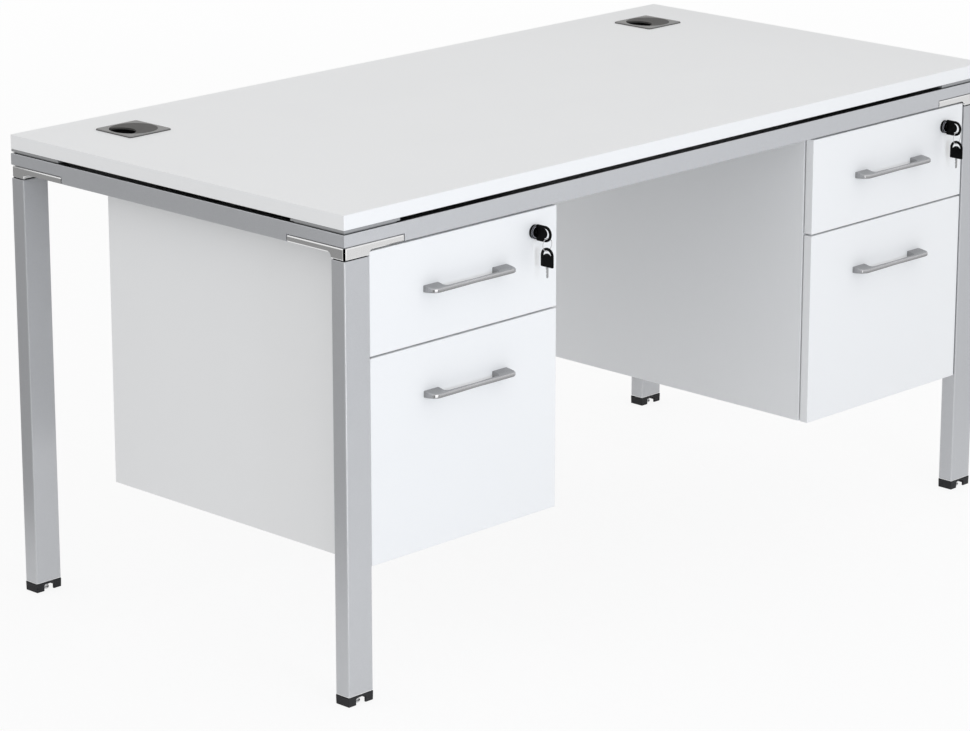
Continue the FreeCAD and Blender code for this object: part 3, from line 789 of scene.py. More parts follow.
@dataclass(frozen=True)
class LegSet:
    """One leg with its foot cap and levelling screw."""

    corner: Corner
    wall: float = 0.002
    corner_radius: float = 0.002
    inner_radius: float = 0.0008
    end_ease: float = 0.0012
    corner_wear: float = 0.08
    foot_edge: float = 0.0012
    foot_wall: float = 0.003
    foot_top_ease_share: float = 0.3
    notch_side_gap: float = 0.0015
    notch_height: float = 0.011
    notch_radius: float = 0.0035
    plug_clearance: float = 0.0002
    pad_ease: float = 0.0007
    pad_height: float = 0.0035
    hex_width: float = 0.013
    hex_height: float = 0.005
    hex_face_share: float = 1.02
    hex_cone_share: float = 1.16
    stud_radius: float = 0.005
    thread_pitch: float = 0.0015
    thread_depth: float = 0.0007
    thread_levels: int = 160
    bore_points: int = 36

    def tube(self) -> Shell:
        """Rounded rectangular tube, open at both ends, with painted highlight on its corners and a lighter
        band along its lower end.

        Returns:
            The closed skin, with the share of painted highlight and lighter end as its band.
        """
        loops = [
            self.corner.leg_outline(0.0, self.corner_radius),
            self.corner.leg_outline(self.wall, self.inner_radius).as_hole(),
        ]
        # Painted highlight along the corners, and a lighter band along the lower end.
        end = np.repeat([1.0, 0.0], [EDGE_STEPS, EDGE_STEPS + 1])[:, None]
        column = np.arange(len(loops[0].points)) % (CORNER_STEPS + 1)
        bend = np.where(column < CORNER_STEPS, self.corner_wear, 0.0)[None, :]
        return rounded_prism(loops, Axis.Z, self.corner.leg_bottom, self.corner.leg_top, self.end_ease,
                             bands=(np.maximum(end, bend), 0.0, 0.0))

    def _foot_outline(self, half: float) -> Outline:
        """Front view of the cap: a block with a round-shouldered notch of that half width.

        Args:
            half: Half the notch's width.

        Returns:
            The outline, in width and height.
        """
        width, top, edge = self.corner.leg_width, self.corner.leg_bottom, self.foot_edge
        near, far = width / 2 - half, width / 2 + half
        corners = [(0, 0), (near, 0), (near, self.notch_height), (far, self.notch_height), (far, 0),
                   (width, 0), (width, top), (0, top)]
        shoulder = self.notch_radius
        outline = rounded_polygon(corners, [edge, edge, shoulder, shoulder, edge, edge, edge, edge])
        return outline.eased(np.where(outline.points[:, 1] > top - 2 * edge, self.foot_top_ease_share, 1.0))

    def foot(self, pad_radius: float, plug_top: float) -> list[Shell]:
        """Hollow cap with a notch in its front and back walls, and a bored plug that goes up into the tube.

        The outline is carried from the front to the back. Its outer edges follow a quarter circle, and
        between the two walls its notch is as wide as the hollow.

        Args:
            pad_radius: Radius of the levelling screw's pad, which the notch clears.
            plug_top: Height of the plug's upper end.

        Returns:
            The cap and the plug.
        """
        width, depth, wall = self.corner.leg_width, self.corner.leg_depth, self.foot_wall
        notched = self._foot_outline(pad_radius + self.notch_side_gap)
        hollow = self._foot_outline(width / 2 - wall)
        inward, along = (part[:, None] for part in rounding(EDGE_STEPS))
        radius = self.foot_edge * notched.ease[None, :]
        rounded = notched.points - notched.outward * (radius * inward)[..., None]
        rise = radius * along
        middle = np.stack([notched.points, hollow.points, hollow.points, notched.points])
        station = np.repeat([[wall], [wall], [depth - wall], [depth - wall]], rise.shape[1], axis=1)
        across = np.concatenate([rounded, middle, rounded[::-1]])
        cap = skin(Axis.Y.place(across, np.concatenate([rise, station, depth - rise[::-1]])), False, True)
        bore = circle((width / 2, depth / 2), self.stud_radius + self.plug_clearance, self.bore_points)
        outer = self.corner.leg_outline(self.wall + self.plug_clearance, self.inner_radius)
        plug = [outer, bore.as_hole()]
        return [cap, rounded_prism(plug, Axis.Z, self.corner.leg_bottom, plug_top, self.end_ease)]

    def leveller(self, low: float, high: float, pad_radius: float) -> list[Shell]:
        """Turned pad, hexagon and threaded stud.

        The hexagon's radius is half its width over the cosine of the angle from the nearest flat, cut back to
        a cone at both ends. The thread's radius falls from the crest by its depth, in a triangle wave of the
        height in pitches less the share of a turn.

        Args:
            low: Height of the pad's underside.
            high: Height of the stud's upper end.
            pad_radius: Radius of the pad.

        Returns:
            The three skins.
        """
        centre = np.array([self.corner.leg_width / 2, self.corner.leg_depth / 2])
        ease, pad_top = self.pad_ease, low + self.pad_height
        pad = np.array([(0.0, low), (pad_radius - ease, low), (pad_radius, low + ease),
                        (pad_radius, pad_top - ease), (pad_radius - ease, pad_top), (0.0, pad_top)])
        hex_top = pad_top + self.hex_height
        angle = np.linspace(0.0, math.tau, ROUND_POINTS, endpoint=False)
        sixth = math.tau / 6
        flat = self.hex_width / 2 / np.cos((angle + sixth / 2) % sixth - sixth / 2)
        face, cone = self.hex_face_share, self.hex_cone_share
        limits = self.hex_width / 2 * np.array([0.0, face, cone, cone, face, 0.0])
        levels = np.array([pad_top, pad_top, pad_top + ease, hex_top - ease, hex_top, hex_top])
        radius = np.minimum(flat[None, :], limits[:, None])
        spoke = circle((0.0, 0.0), 1.0).points
        nut = skin(Axis.Z.place(centre + radius[..., None] * spoke, levels[:, None]), False, False)
        level = np.linspace(hex_top, high, self.thread_levels)
        wave = (level[:, None] / self.thread_pitch - angle[None, :] / math.tau) % 1.0
        crest = self.stud_radius - self.thread_depth * np.abs(2 * wave - 1)
        stud = skin(Axis.Z.place(centre + crest[..., None] * spoke, level[:, None]), False, True)
        return [lathe(pad, centre, Axis.Z, False), nut, stud]

    def build(self) -> list[Shell]:
        """Add the leg and its levelling screw.

        Returns:
            The foot's skins, in the desk's frame, for the piece that holds all four feet.
        """
        name, carry = self.corner.name, self.corner.carry
        add_piece(f"leg_{name}_tube", [carry(self.tube())], POWDER_COAT, "frame", f"leg_{name}")
        low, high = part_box(f"levelling_screw_{name}")
        pad_radius = (high.x - low.x) / 2
        screw = [carry(shell) for shell in self.leveller(low.z, high.z, pad_radius)]
        add_piece(f"levelling_screw_{name}_threaded", screw, ZINC, f"leveller_{name}",
                  f"levelling_screw_{name}")
        plug_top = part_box("foot_caps")[1].z
        return [carry(shell) for shell in self.foot(pad_radius, plug_top)]


@dataclass(frozen=True)
class CornerCasting:
    """Polished casting on a leg: a band round the corner with an arm on each side, a cap and a spigot."""

    corner: Corner
    rail_bottom: float
    arm_depth: float = 0.004
    web_depth: float = 0.0018
    fillet: float = 0.0082
    edge: float = 0.0009
    bevel_height: float = 0.0020
    bevel_depth: float = 0.0011
    corner_radius: float = 0.0050
    groove_turn: float = 0.85
    groove_depth: float = 0.0010
    joint_gap: float = 0.0013
    shim_inset: float = 0.0008
    cap_inset: float = 0.0012
    spigot_inset: float = 0.0022
    spigot_wall: float = 0.003
    steps: int = 6

    def _stations(self, arm: float, leg: float) -> tuple[Array, Array]:
        """Places along one side from the arm's end to the leg's side, and the band's lower edge there.

        From the arm's end the lower edge is level, then follows a quarter circle down to the leg's side and
        drops almost to the leg's top.

        Args:
            arm: The arm's reach.
            leg: The leg's size along this side.

        Returns:
            Places, and heights.
        """
        out, down = rounding(2 * self.steps)
        place = leg + self.fillet * out
        foot = self.corner.leg_top + self.joint_gap
        height = np.maximum(self.rail_bottom - self.fillet * down, foot)
        return np.array([arm, *place, leg]), np.array([self.rail_bottom, *height, foot])

    def band(self, arm: float, top: float) -> Shell:
        """Carry a section with bevelled outer edges along one arm, round the corner and along the other arm.

        Half way round the corner, the outer face sinks into a narrow groove that is painted near black, a
        painted reflection.

        Args:
            arm: Reach of both arms.
            top: Height of the band's upper edge.

        Returns:
            The closed band.
        """
        share = np.linspace(0.0, 1.0, self.steps + 1)
        depth_down, depth_up = self.bevel_depth * (1 - share), self.bevel_depth * share
        fixed_in = np.array([self.arm_depth, *depth_down])
        fixed_level = np.array([top, *(top - self.bevel_height * share)])
        front, front_low = self._stations(arm, self.corner.leg_width)
        side, side_low = self._stations(arm, self.corner.leg_depth)
        start, stop = (RIGHT_ANGLE - self.groove_turn) / 2, (RIGHT_ANGLE + self.groove_turn) / 2
        sweep = np.concatenate([np.linspace(0.0, start, self.steps), [start, stop],
                                np.linspace(stop, RIGHT_ANGLE, self.steps)])
        sink = np.zeros(len(sweep))
        sink[self.steps:self.steps + 2] = self.groove_depth
        low = np.concatenate([front_low, np.full(len(sweep), front_low[-1]), side_low[::-1]])[:, None]
        web = np.repeat([self.web_depth, self.arm_depth], [len(front) + len(sweep), len(side)])
        count = len(low)
        depth = np.concatenate([np.tile(fixed_in, (count, 1)), np.tile(depth_up, (count, 1)), web[:, None],
                                web[:, None], np.full((count, 1), self.arm_depth)], axis=1)
        level = np.concatenate([np.tile(fixed_level, (count, 1)), low + self.bevel_height * (1 - share), low,
                                np.full((count, 2), self.rail_bottom)], axis=1)
        first, last = len(front), len(front) + len(sweep)
        depth[first:last] = np.maximum(depth[first:last], sink[:, None])
        centre = np.maximum(self.corner_radius, depth[first:last])
        reach = np.maximum(self.corner_radius - depth[first:last], 0.0)
        along = np.concatenate([np.broadcast_to(front[:, None], depth[:first].shape),
                                centre - reach * np.sin(sweep)[:, None], depth[last:]])
        across = np.concatenate([depth[:first], centre - reach * np.cos(sweep)[:, None],
                                 np.broadcast_to(side[::-1, None], depth[last:].shape)])
        # Painted reflection: the groove's faces take the band and are painted near black.
        groove = np.zeros(count - 1)
        groove[first + self.steps - 1:first + self.steps + 2] = 1.0
        return skin(np.stack([along, across, level], axis=-1), False, True, groove[:, None])

    def build(self) -> None:
        """Add the casting."""
        node = f"corner_casting_{self.corner.name}"
        low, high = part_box(node)
        corner = self.corner
        joint = corner.leg_top + self.joint_gap
        # Painted shade: the shim in the joint gap takes the full band and is painted near black.
        outline = corner.leg_outline(self.shim_inset, self.corner_radius)
        painted_shade_shim = rounded_prism([outline], Axis.Z, corner.leg_top, joint, 0.0, bands=FULL_BAND)
        outline = corner.leg_outline(self.cap_inset, self.corner_radius)
        cap = rounded_prism([outline], Axis.Z, joint, self.rail_bottom, self.edge, bands=NO_BAND)
        outline = corner.leg_outline(self.spigot_inset, self.edge)
        hole = corner.leg_outline(self.spigot_inset + self.spigot_wall, self.edge).as_hole()
        spigot = rounded_prism([outline, hole], Axis.Z, low.z, corner.leg_top, self.edge / 2, bands=NO_BAND)
        shells = [self.band(high.x - low.x, high.z), painted_shade_shim, cap, spigot]
        add_piece(f"{node}_polished", [corner.carry(shell) for shell in shells], CASTING, "frame", node)


@dataclass(frozen=True)
class SpacerPlate:
    """Angle plate under the top at one corner: a lip on a foot that stands back."""

    corner: Corner
    width: float
    lip: float = 0.004
    length: float = 0.113
    inset: float = 0.0006
    step: float = 0.004
    edge: float = 0.0004

    def build(self, low: float, high: float) -> list[Shell]:
        """Draw the lip's and the foot's angle outlines up to their heights.

        Args:
            low: Height of the frame's upper face.
            high: Height of the top's underside.

        Returns:
            The plate's skins, in the desk's frame.
        """
        shells = []
        for near, far, start, stop in ((self.inset, self.length, high - self.lip, high),
                                       (self.step, self.length - self.step, low, high - self.lip)):
            wide = self.width
            corners = [(near, near), (far, near), (far, wide), (wide, wide), (wide, far), (near, far)]
            outline = rounded_polygon(corners, self.edge)
            shells.append(self.corner.carry(rounded_prism([outline], Axis.Z, start, stop, self.edge)))
        return shells


@dataclass(frozen=True)
class Rail:
    """One mitred rail, notched at both ends for the castings' arms, with its upper face under the top painted
    near black as painted shade.
    """

    name: str
    along: Array
    across: Array
    edge: float = 0.0013
    notch_edge: float = 0.0004
    notch_gap: float = 0.0018

    def _section(self, width: float, height: float, notch: Array, cut: float) -> Outline:
        """Cross-section in depth and height, whole or with its lower outer corner cut away.

        Args:
            width: The rail's depth.
            height: The rail's height.
            notch: Depth and height of the notch.
            cut: 1 for the notched section and 0 for the whole one.

        Returns:
            The section, with the same number of points either way.
        """
        deep, tall = notch
        corners = [(deep * cut, tall * cut), (deep, 0.0), (width, 0.0), (width, height), (0.0, height),
                   (0.0, tall)]
        whole, small = self.edge, self.notch_edge * cut
        radii = [whole * (1 - cut) + small, small, whole, whole, whole, small]
        return rounded_polygon(corners, radii)

    def build(self) -> None:
        """Carry the section from one mitre to the other, changing it at the ends of the notches.

        The upper face, painted near black as painted shade, is the one that follows the last point of the
        section's fourth corner.
        """
        node = f"rail_{self.name}"
        low, high = (np.array(value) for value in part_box(node))
        start = np.where(self.along + self.across >= 0, low, high)
        start[2] = low[2]
        length = float((high - low) @ np.abs(self.along))
        width = float((high - low) @ np.abs(self.across))
        arm_low, arm_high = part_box("corner_casting_front_left")
        reach = arm_high.x - arm_low.x + self.notch_gap
        notch = np.array([CornerCasting.arm_depth, arm_high.z - low[2]]) + self.notch_gap
        cut, whole = (self._section(width, high[2] - low[2], notch, share).points for share in (1.0, 0.0))
        sections = np.stack([cut, cut, whole, whole, cut, cut])
        depth = sections[..., 0]
        station = np.zeros_like(depth)
        station[0], station[1:3] = depth[0], reach
        station[3:5], station[5] = length - reach, length - depth[5]
        points = start + station[..., None] * self.along + depth[..., None] * self.across
        points[..., 2] += sections[..., 1]
        # Painted shade: the upper face takes the band and is painted near black.
        upper = np.arange(sections.shape[1]) == 4 * (CORNER_STEPS + 1) - 1
        add_piece(f"{node}_tube", [skin(points, False, True, upper)], RAIL_COAT, "frame", node)


@dataclass(frozen=True)
class CablePort:
    """Square flange with a tube through the top, and a turning lid with a round bite."""

    side: Side
    lid_clearance: float = 0.0003
    flange_radius: float = 0.004
    bevel: float = 0.0012
    ledge: float = 0.002
    tube_wall: float = 0.0014
    lip_ease: float = 0.0003
    bite_radius: float = 0.028
    bite_offset: float = 0.031
    lid_edge: float = 0.0005
    tip_length: float = 0.003
    corner_steps: int = 8
    side_steps: int = 8
    rim_points: int = 96
    bite_points: int = 48

    def flange(self, half: float, low: float, high: float, seat: float) -> Shell:
        """Loft of square loops outside and round loops inside, joined along the same spokes.

        Going round the section: up the square's side, over its bevel, in to the round seat and down it.

        Args:
            half: Half the flange's width.
            low: Height of the desk top's upper face.
            high: Height of the flange's upper face.
            seat: Radius of the seat.

        Returns:
            The closed skin, centred on the origin.
        """
        corner = rectangle((-half, -half), (half, half), self.flange_radius, self.corner_steps)
        share = np.linspace(0.0, 1.0, self.side_steps, endpoint=False)[None, :, None]
        points, outward = (
            (value[:, None] * (1 - share) + np.roll(value, -1, axis=0)[:, None] * share).reshape(-1, 2)
            for value in (corner.points, corner.outward)
        )
        spoke = points / np.linalg.norm(points, axis=1, keepdims=True)
        inset = np.array([0.0, 0.0, self.bevel])[:, None, None]
        radius = np.array([seat + self.lip_ease, seat, seat])[:, None, None]
        level = np.array([low, high - self.bevel, high, high, high - self.lip_ease, low])[:, None]
        across = np.concatenate([points - outward * inset, spoke * radius])
        # Painted shade: the outer side wall takes the band and is painted darker.
        side = np.array([1.0, 0.0, 0.0, 0.0, 0.0, 0.0])
        return skin(Axis.Z.place(across, level), True, False, side[:, None])

    def sleeve(self, seat: float, top: float, ledge: float, bottom: float) -> Shell:
        """Turned tube through the desk top, with a ledge that carries the lid.

        Args:
            seat: Radius of the seat.
            top: Height of the tube's upper end.
            ledge: Height of the ledge.
            bottom: Height of its lower end.

        Returns:
            The closed skin, centred on the origin.
        """
        bore, outside = seat - self.lid_clearance - self.ledge, seat + self.tube_wall
        profile = np.array([(seat, top), (seat, ledge), (bore, ledge), (bore, bottom), (outside, bottom),
                            (outside, top)])
        return lathe(profile, (0.0, 0.0), Axis.Z, True)

    def lid(self, radius: float, low: float, high: float) -> Shell:
        """Disc with a round bite out of its left side, whose edges are eased less towards the two tips.

        Args:
            radius: The lid's radius.
            low: Height of its underside.
            high: Height of its upper face.

        Returns:
            The closed skin, centred on the origin.
        """
        offset, bite = self.bite_offset, self.bite_radius
        tip_x = -(radius ** 2 - bite ** 2 + offset ** 2) / (2 * offset)
        tip_y = math.sqrt(radius ** 2 - tip_x ** 2)
        open_angle = math.atan2(tip_y, tip_x)
        bite_angle = math.atan2(tip_y, tip_x + offset)
        rim = arc((0.0, 0.0), radius, -open_angle, open_angle, self.rim_points)
        hollow = arc((-offset, 0.0), bite, bite_angle, -bite_angle, self.bite_points, -1.0)
        outline = joined(rim, hollow)
        away = np.abs(np.abs(outline.points[:, 1]) - tip_y) + np.abs(outline.points[:, 0] - tip_x)
        ease = np.clip(away / self.tip_length, 0.0, 1.0)
        return rounded_prism([outline.eased(ease)], Axis.Z, low, high, self.lid_edge)

    def centre(self) -> Array:
        """The port's middle in plan."""
        return middle_of(*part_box(f"cable_port_ring_{self.side}"))[:2]

    def build(self, top: float) -> None:
        """Add the flange and the lid.

        Args:
            top: Height of the desk top's upper face.
        """
        ring, lid = f"cable_port_ring_{self.side}", f"cable_port_lid_{self.side}"
        low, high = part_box(ring)
        lid_low, lid_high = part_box(lid)
        middle = np.array([*self.centre(), 0.0])
        radius = lid_high.x - middle[0]
        seat = radius + self.lid_clearance
        flange = self.flange((high.x - low.x) / 2, top, high.z, seat)
        sleeve = self.sleeve(seat, top, lid_low.z - self.lid_clearance, low.z)
        disc = self.lid(radius, lid_low.z, lid_high.z)
        shells = (flange, sleeve, disc)
        flange, sleeve, disc = (shell.moved(lambda points: points + middle) for shell in shells)
        add_piece(f"{ring}_flange", [flange], FLANGE_PLASTIC, "frame", ring)
        # The sleeve's near black is painted shade inside the tube.
        add_piece(f"{ring}_sleeve", [sleeve], SLEEVE_PLASTIC, "frame", ring)
        add_piece(f"{lid}_moulding", [disc], LID_PLASTIC, f"cable_lid_{self.side}", lid)


@dataclass(frozen=True)
class WorkTop:
    """The board of the desk top with its two cable ports."""

    edge: float = 0.0012
    hole_clearance: float = 0.0003

    def build(self) -> None:
        """Add the board, with a hole for each port, and the ports."""
        low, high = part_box("desktop")
        ports = [CablePort(side) for side in Side]
        holes = []
        for port in ports:
            lid_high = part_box(f"cable_port_lid_{port.side}")[1]
            centre = port.centre()
            tube = lid_high.x - centre[0] + port.lid_clearance + port.tube_wall
            holes.append(circle(centre, tube + self.hole_clearance))
        # The underside takes the band: painted shade under the top.
        slab = board(low, high, Axis.Z, self.edge, holes, bands=LOW_BAND)
        add_piece("desktop_board", [slab], TOP_MELAMINE_PAINTED_SHADE, "frame", "desktop")
        for port in ports:
            port.build(high.z)


@dataclass(frozen=True)
class Handle:
    """Slim bow with broad feet, taller where they meet the front, with painted highlight along its upper
    edge.
    """

    foot_width: float = 0.031
    finger_gap: float = 0.0175
    end_radius: float = 0.0095
    inner_radius: float = 0.008
    bar_height_share: float = 0.61
    foot_edge: float = 0.0012
    bar_edge: float = 0.0022
    face_wear: float = 0.45
    steps: int = 12
    foot_stations: int = 3
    bar_stations: int = 7

    def _side(self, start: float, radius: float, reach: float, half: float) -> Array:
        """One edge of the bow's left half in plan: out from the front, round a quarter circle, to the middle.

        Args:
            start: Where it leaves the front, from the bow's left end.
            radius: Radius of the quarter circle.
            reach: How far out it runs to the middle.
            half: Half the bow's length.

        Returns:
            Places along and out, the same number for any edge.
        """
        short, aside = rounding(self.steps)
        out = np.linspace(0.0, reach - radius, self.foot_stations, endpoint=False)
        run = np.linspace(start + radius, half, self.bar_stations + 1)[1:]
        bend = np.stack([start + radius * aside, reach - radius * short], axis=1)
        return np.concatenate([np.stack([np.full(len(out), start), out], axis=1), bend,
                               np.stack([run, np.full(len(run), reach)], axis=1)])

    def build(self, node: str, body: str) -> None:
        """Carry a rounded section between the outer and the inner edge, from foot to foot.

        At each station the section spans the two edges. Its height falls, and its rounding and the painted
        highlight on its upper outer edge grow, in a smooth step of the distance from the front.

        Args:
            node: The handle's node.
            body: The drawer's body.
        """
        low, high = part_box(node)
        length, reach, height = high.x - low.x, high.y - low.y, high.z - low.z
        outer = self._side(0.0, self.end_radius, reach, length / 2)
        inner = self._side(self.foot_width, self.inner_radius, self.finger_gap, length / 2)
        outer, inner = (np.concatenate([side, side[-2::-1] * (-1.0, 1.0) + (length, 0.0)])
                        for side in (outer, inner))
        span = inner - outer
        wide = np.linalg.norm(span, axis=1)[:, None]
        far = smooth_step(outer[:, 1, None] / reach)
        tall = height * (1 - (1 - self.bar_height_share) * far)
        edge = self.foot_edge + (self.bar_edge - self.foot_edge) * far
        corner = np.repeat(np.arange(4), self.steps // 2 + 1)
        turn = np.tile(np.linspace(0.0, RIGHT_ANGLE, self.steps // 2 + 1), 4)
        turn_end = turn == turn.max()
        angle = turn + math.pi + corner * RIGHT_ANGLE
        side, level = np.array([-1, 1, 1, -1])[corner], np.array([-1, -1, 1, 1])[corner]
        across = wide / 2 + (wide / 2 - edge) * side + edge * np.cos(angle)
        up = (tall / 2 - edge) * level + edge * np.sin(angle)
        plan = outer[:, None] + span[:, None] * (across / wide)[..., None]
        level = middle_of(low, high)[2] + up
        points = np.stack([low.x + plan[..., 0], high.y - plan[..., 1], level], axis=-1)
        # Painted highlight along the upper outer edge, growing away from the front.
        painted_glint = far[1:] * np.where(corner == 3, np.where(turn_end, self.face_wear, 1.0), 0.0)
        add_piece(f"{node}_bow", [skin(points, False, True, painted_glint)], HANDLE_METAL, body, node)


@dataclass(frozen=True)
class Tray:
    """Folded steel tray with round corners, folds and rim."""

    sheet: float = 0.0012
    fold: float = 0.0025
    corner_radius: float = 0.005
    steps: int = 5

    def build(self, node: str, body: str) -> None:
        """Carry the sheet's profile round the tray: under the floor, up the outside, over the rim and down.

        Args:
            node: The tray's node.
            body: The drawer's body.
        """
        low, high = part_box(node)
        outline = rectangle((low.x, low.y), (high.x, high.y), self.corner_radius)
        half = self.sheet / 2
        inner = self.fold - half
        bend = np.stack(rounding(self.steps), axis=1)
        down, over = rounding(2 * self.steps, math.pi)
        outer_fold = (0.0, low.z) + self.fold * bend
        rim = np.stack([half * over, high.z - half * down], axis=1)
        inner_fold = (self.sheet, low.z + self.sheet) + inner * bend
        profile = np.concatenate([outer_fold, rim, inner_fold[::-1]])
        add_piece(f"{node}_sheet", [carried(outline, profile, Axis.Z)], TRAY_COAT, body, node)


@dataclass(frozen=True)
class Key:
    """Flat key: a plastic bow with a crescent hole, and a steel blade with cuts."""

    bow_width: float = 0.025
    bow_length: float = 0.030
    shoulder_radius: float = 0.0016
    rim: float = 0.004
    hole_depth: float = 0.005
    hole_shift: float = 0.0045
    edge: float = 0.0007
    blade_width: float = 0.0038
    blade_thickness: float = 0.002
    blade_edge: float = 0.0002
    root: float = 0.004
    cut_depth_shares: tuple[float, ...] = (0.30, 0.12, 0.36, 0.20, 0.32)
    cut_span: tuple[float, float] = (0.30, 0.88)
    uncut_share: float = 0.2
    head_steps: int = 16
    hole_points: tuple[int, int] = (40, 28)
    blade_steps: int = 2

    def bow(self) -> list[Outline]:
        """Bow with a round head and a crescent hole, whose inner circle is shifted towards the blade.

        Returns:
            The bow's outline, and the hole's.
        """
        half, head = self.bow_width / 2, self.bow_length - self.bow_width / 2
        corners = [(-half, 0.0), (half, 0.0), (half, self.bow_length), (-half, self.bow_length)]
        radii = [self.shoulder_radius, self.shoulder_radius, half, half]
        outer = rounded_polygon(corners, radii, self.head_steps)
        radius = half - self.rim
        inner = radius + self.hole_shift - self.hole_depth
        tip = (self.hole_shift ** 2 + radius ** 2 - inner ** 2) / (2 * self.hole_shift)
        wide = math.sqrt(radius ** 2 - tip ** 2)
        start, stop = math.atan2(-tip, wide), math.pi + math.atan2(tip, wide)
        low = math.atan2(self.hole_shift - tip, wide)
        far, near = self.hole_points
        crescent = joined(arc((0.0, head), radius, start, stop, far),
                          arc((0.0, head - self.hole_shift), inner, math.pi - low, low, near, -1.0))
        return [outer, crescent.as_hole()]

    def blade(self, length: float) -> Outline:
        """Blade whose one side is cut in steps, with its root inside the bow.

        Args:
            length: Length of the blade outside the bow.

        Returns:
            The blade's outline.
        """
        half = self.blade_width / 2
        cuts = np.array(self.cut_depth_shares) * self.blade_width
        place = -length * np.linspace(*self.cut_span, len(cuts))
        side = np.stack([half - cuts, place], axis=1)
        corners = [(-half, self.root), (-half, -length + half), (-half / 2, -length), (half / 2, -length),
                   *side[::-1], (half, -length * self.uncut_share), (half, self.root)]
        return rounded_polygon(corners, self.blade_edge, self.blade_steps)

    def build(self, name: str, node: str, body: str, origin: Array, across: Array, along: Array) -> None:
        """Add the bow and the blade, drawn along X about the key's middle plane.

        Args:
            name: First part of the pieces' names.
            node: The key's node.
            body: The body that carries the key.
            origin: Middle of the bow's base, in Y and Z.
            across: Direction across the key, in Y and Z.
            along: Direction from the blade to the bow, in Y and Z.
        """
        low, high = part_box(node)
        middle, half = middle_of(low, high)[0], self.blade_thickness / 2
        loops = [loop.turned(origin, across, along) for loop in self.bow()]
        bow = rounded_prism(loops, Axis.X, low.x, high.x, self.edge)
        add_piece(f"{name}_bow", [bow], KEY_BLACK, body, node)
        length = float(np.ptp([np.array([v.y, v.z]) @ along for v in (low, high)])) - self.bow_length
        outline = self.blade(length).turned(origin, across, along)
        blade = rounded_prism([outline], Axis.X, middle - half, middle + half, self.blade_edge)
        add_piece(f"{name}_blade", [blade], KEY_STEEL, body, node)


@dataclass(frozen=True)
class LockSet:
    """Lock of an upper drawer, with its key, the split ring and the spare key."""

    side: Side
    bore_radius: float = 0.00605
    body_radius: float = 0.008
    rim_ease: float = 0.0011
    groove_radius: float = 0.0084
    groove_width: float = 0.0009
    groove_depth: float = 0.0003
    key_seat_gap: float = 0.0005
    wire_share: float = 0.46
    rim_steps: int = 5
    worn_step: int = 2
    ring_points: int = 145
    wire_points: int = 16

    def case(self, low: Vector, high: Vector, front: float) -> Shell:
        """Turn the case's section about the lock's axis: a grooved rim with a round edge, and a plain body.

        The groove's two sides and one step of the round edge carry painted highlight.

        Args:
            low: Lowest corner of the case.
            high: Its highest corner.
            front: Where the drawer's front face lies.

        Returns:
            The closed skin.
        """
        rim, face, bore = (high.x - low.x) / 2, low.y, self.bore_radius
        bevel = [(bore, face + self.groove_depth), (bore + self.groove_depth, face)]
        middle, half = self.groove_radius, self.groove_width / 2
        groove = [(middle - half, face), (middle, face + self.groove_depth), (middle + half, face)]
        inward, along = rounding(self.rim_steps)
        edge = np.stack([rim - self.rim_ease * inward, face + self.rim_ease * along], axis=1)
        body = [(rim, front), (self.body_radius, front), (self.body_radius, high.y), (bore, high.y)]
        profile = np.concatenate([bevel, groove, edge, body])
        # Painted highlight on the groove's two sides and one step of the round edge.
        painted_glint = np.zeros(len(profile))
        painted_glint[[len(bevel), len(bevel) + 1, len(bevel) + len(groove) + self.worn_step]] = 1.0
        return lathe(profile, middle_of(low, high)[[0, 2]], Axis.Y, True, painted_glint[:, None])

    def ring(self, low: Vector, high: Vector) -> Shell:
        """Two turns of flat wire: an oval section carried along a circle that shifts by its own thickness.

        Args:
            low: Lowest corner of the ring.
            high: Its highest corner.

        Returns:
            The closed skin.
        """
        wire = (high.y - low.y) / 2
        radius = (high.x - low.x) / 2 - wire
        angle = np.linspace(0.0, 2 * math.tau, self.ring_points)[:, None]
        oval = np.linspace(0.0, math.tau, self.wire_points, endpoint=False)[None, :]
        reach = radius + wire * np.cos(oval)
        slip = wire * (1 - self.wire_share) * (angle / math.tau - 1) + wire * self.wire_share * np.sin(oval)
        points = np.stack([reach * np.cos(angle), slip, reach * np.sin(angle)], axis=-1)
        return skin(points + middle_of(low, high), False, True)

    def build(self) -> None:
        """Add the case, both keys and the ring, and dress the barrel."""
        side, drawer = self.side, f"{self.side}_upper_drawer"
        low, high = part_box(f"{side}_lock_case")
        case = self.case(low, high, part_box(f"{drawer}_front")[0].y)
        add_piece(f"{side}_lock_case_turned", [case], LOCK_BLACK, drawer, f"{side}_lock_case")
        dress(f"{side}_lock_barrel", LOCK_BLACK)
        key = Key()
        up, out = np.array([0.0, 1.0]), np.array([-1.0, 0.0])
        base = np.array([low.y - self.key_seat_gap, middle_of(low, high)[2]])
        key.build(f"{side}_key", f"{side}_key", f"{side}_lock", base, up, out)
        low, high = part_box(f"{side}_spare_key")
        base = np.array([middle_of(low, high)[1], high.z - key.bow_length])
        key.build(f"{side}_spare_key", f"{side}_spare_key", f"{side}_hanging_key", base, -out, up)
        ring = self.ring(*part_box(f"{side}_key_ring"))
        add_piece(f"{side}_key_ring_wire", [ring], ZINC, f"{side}_hanging_ring", f"{side}_key_ring")


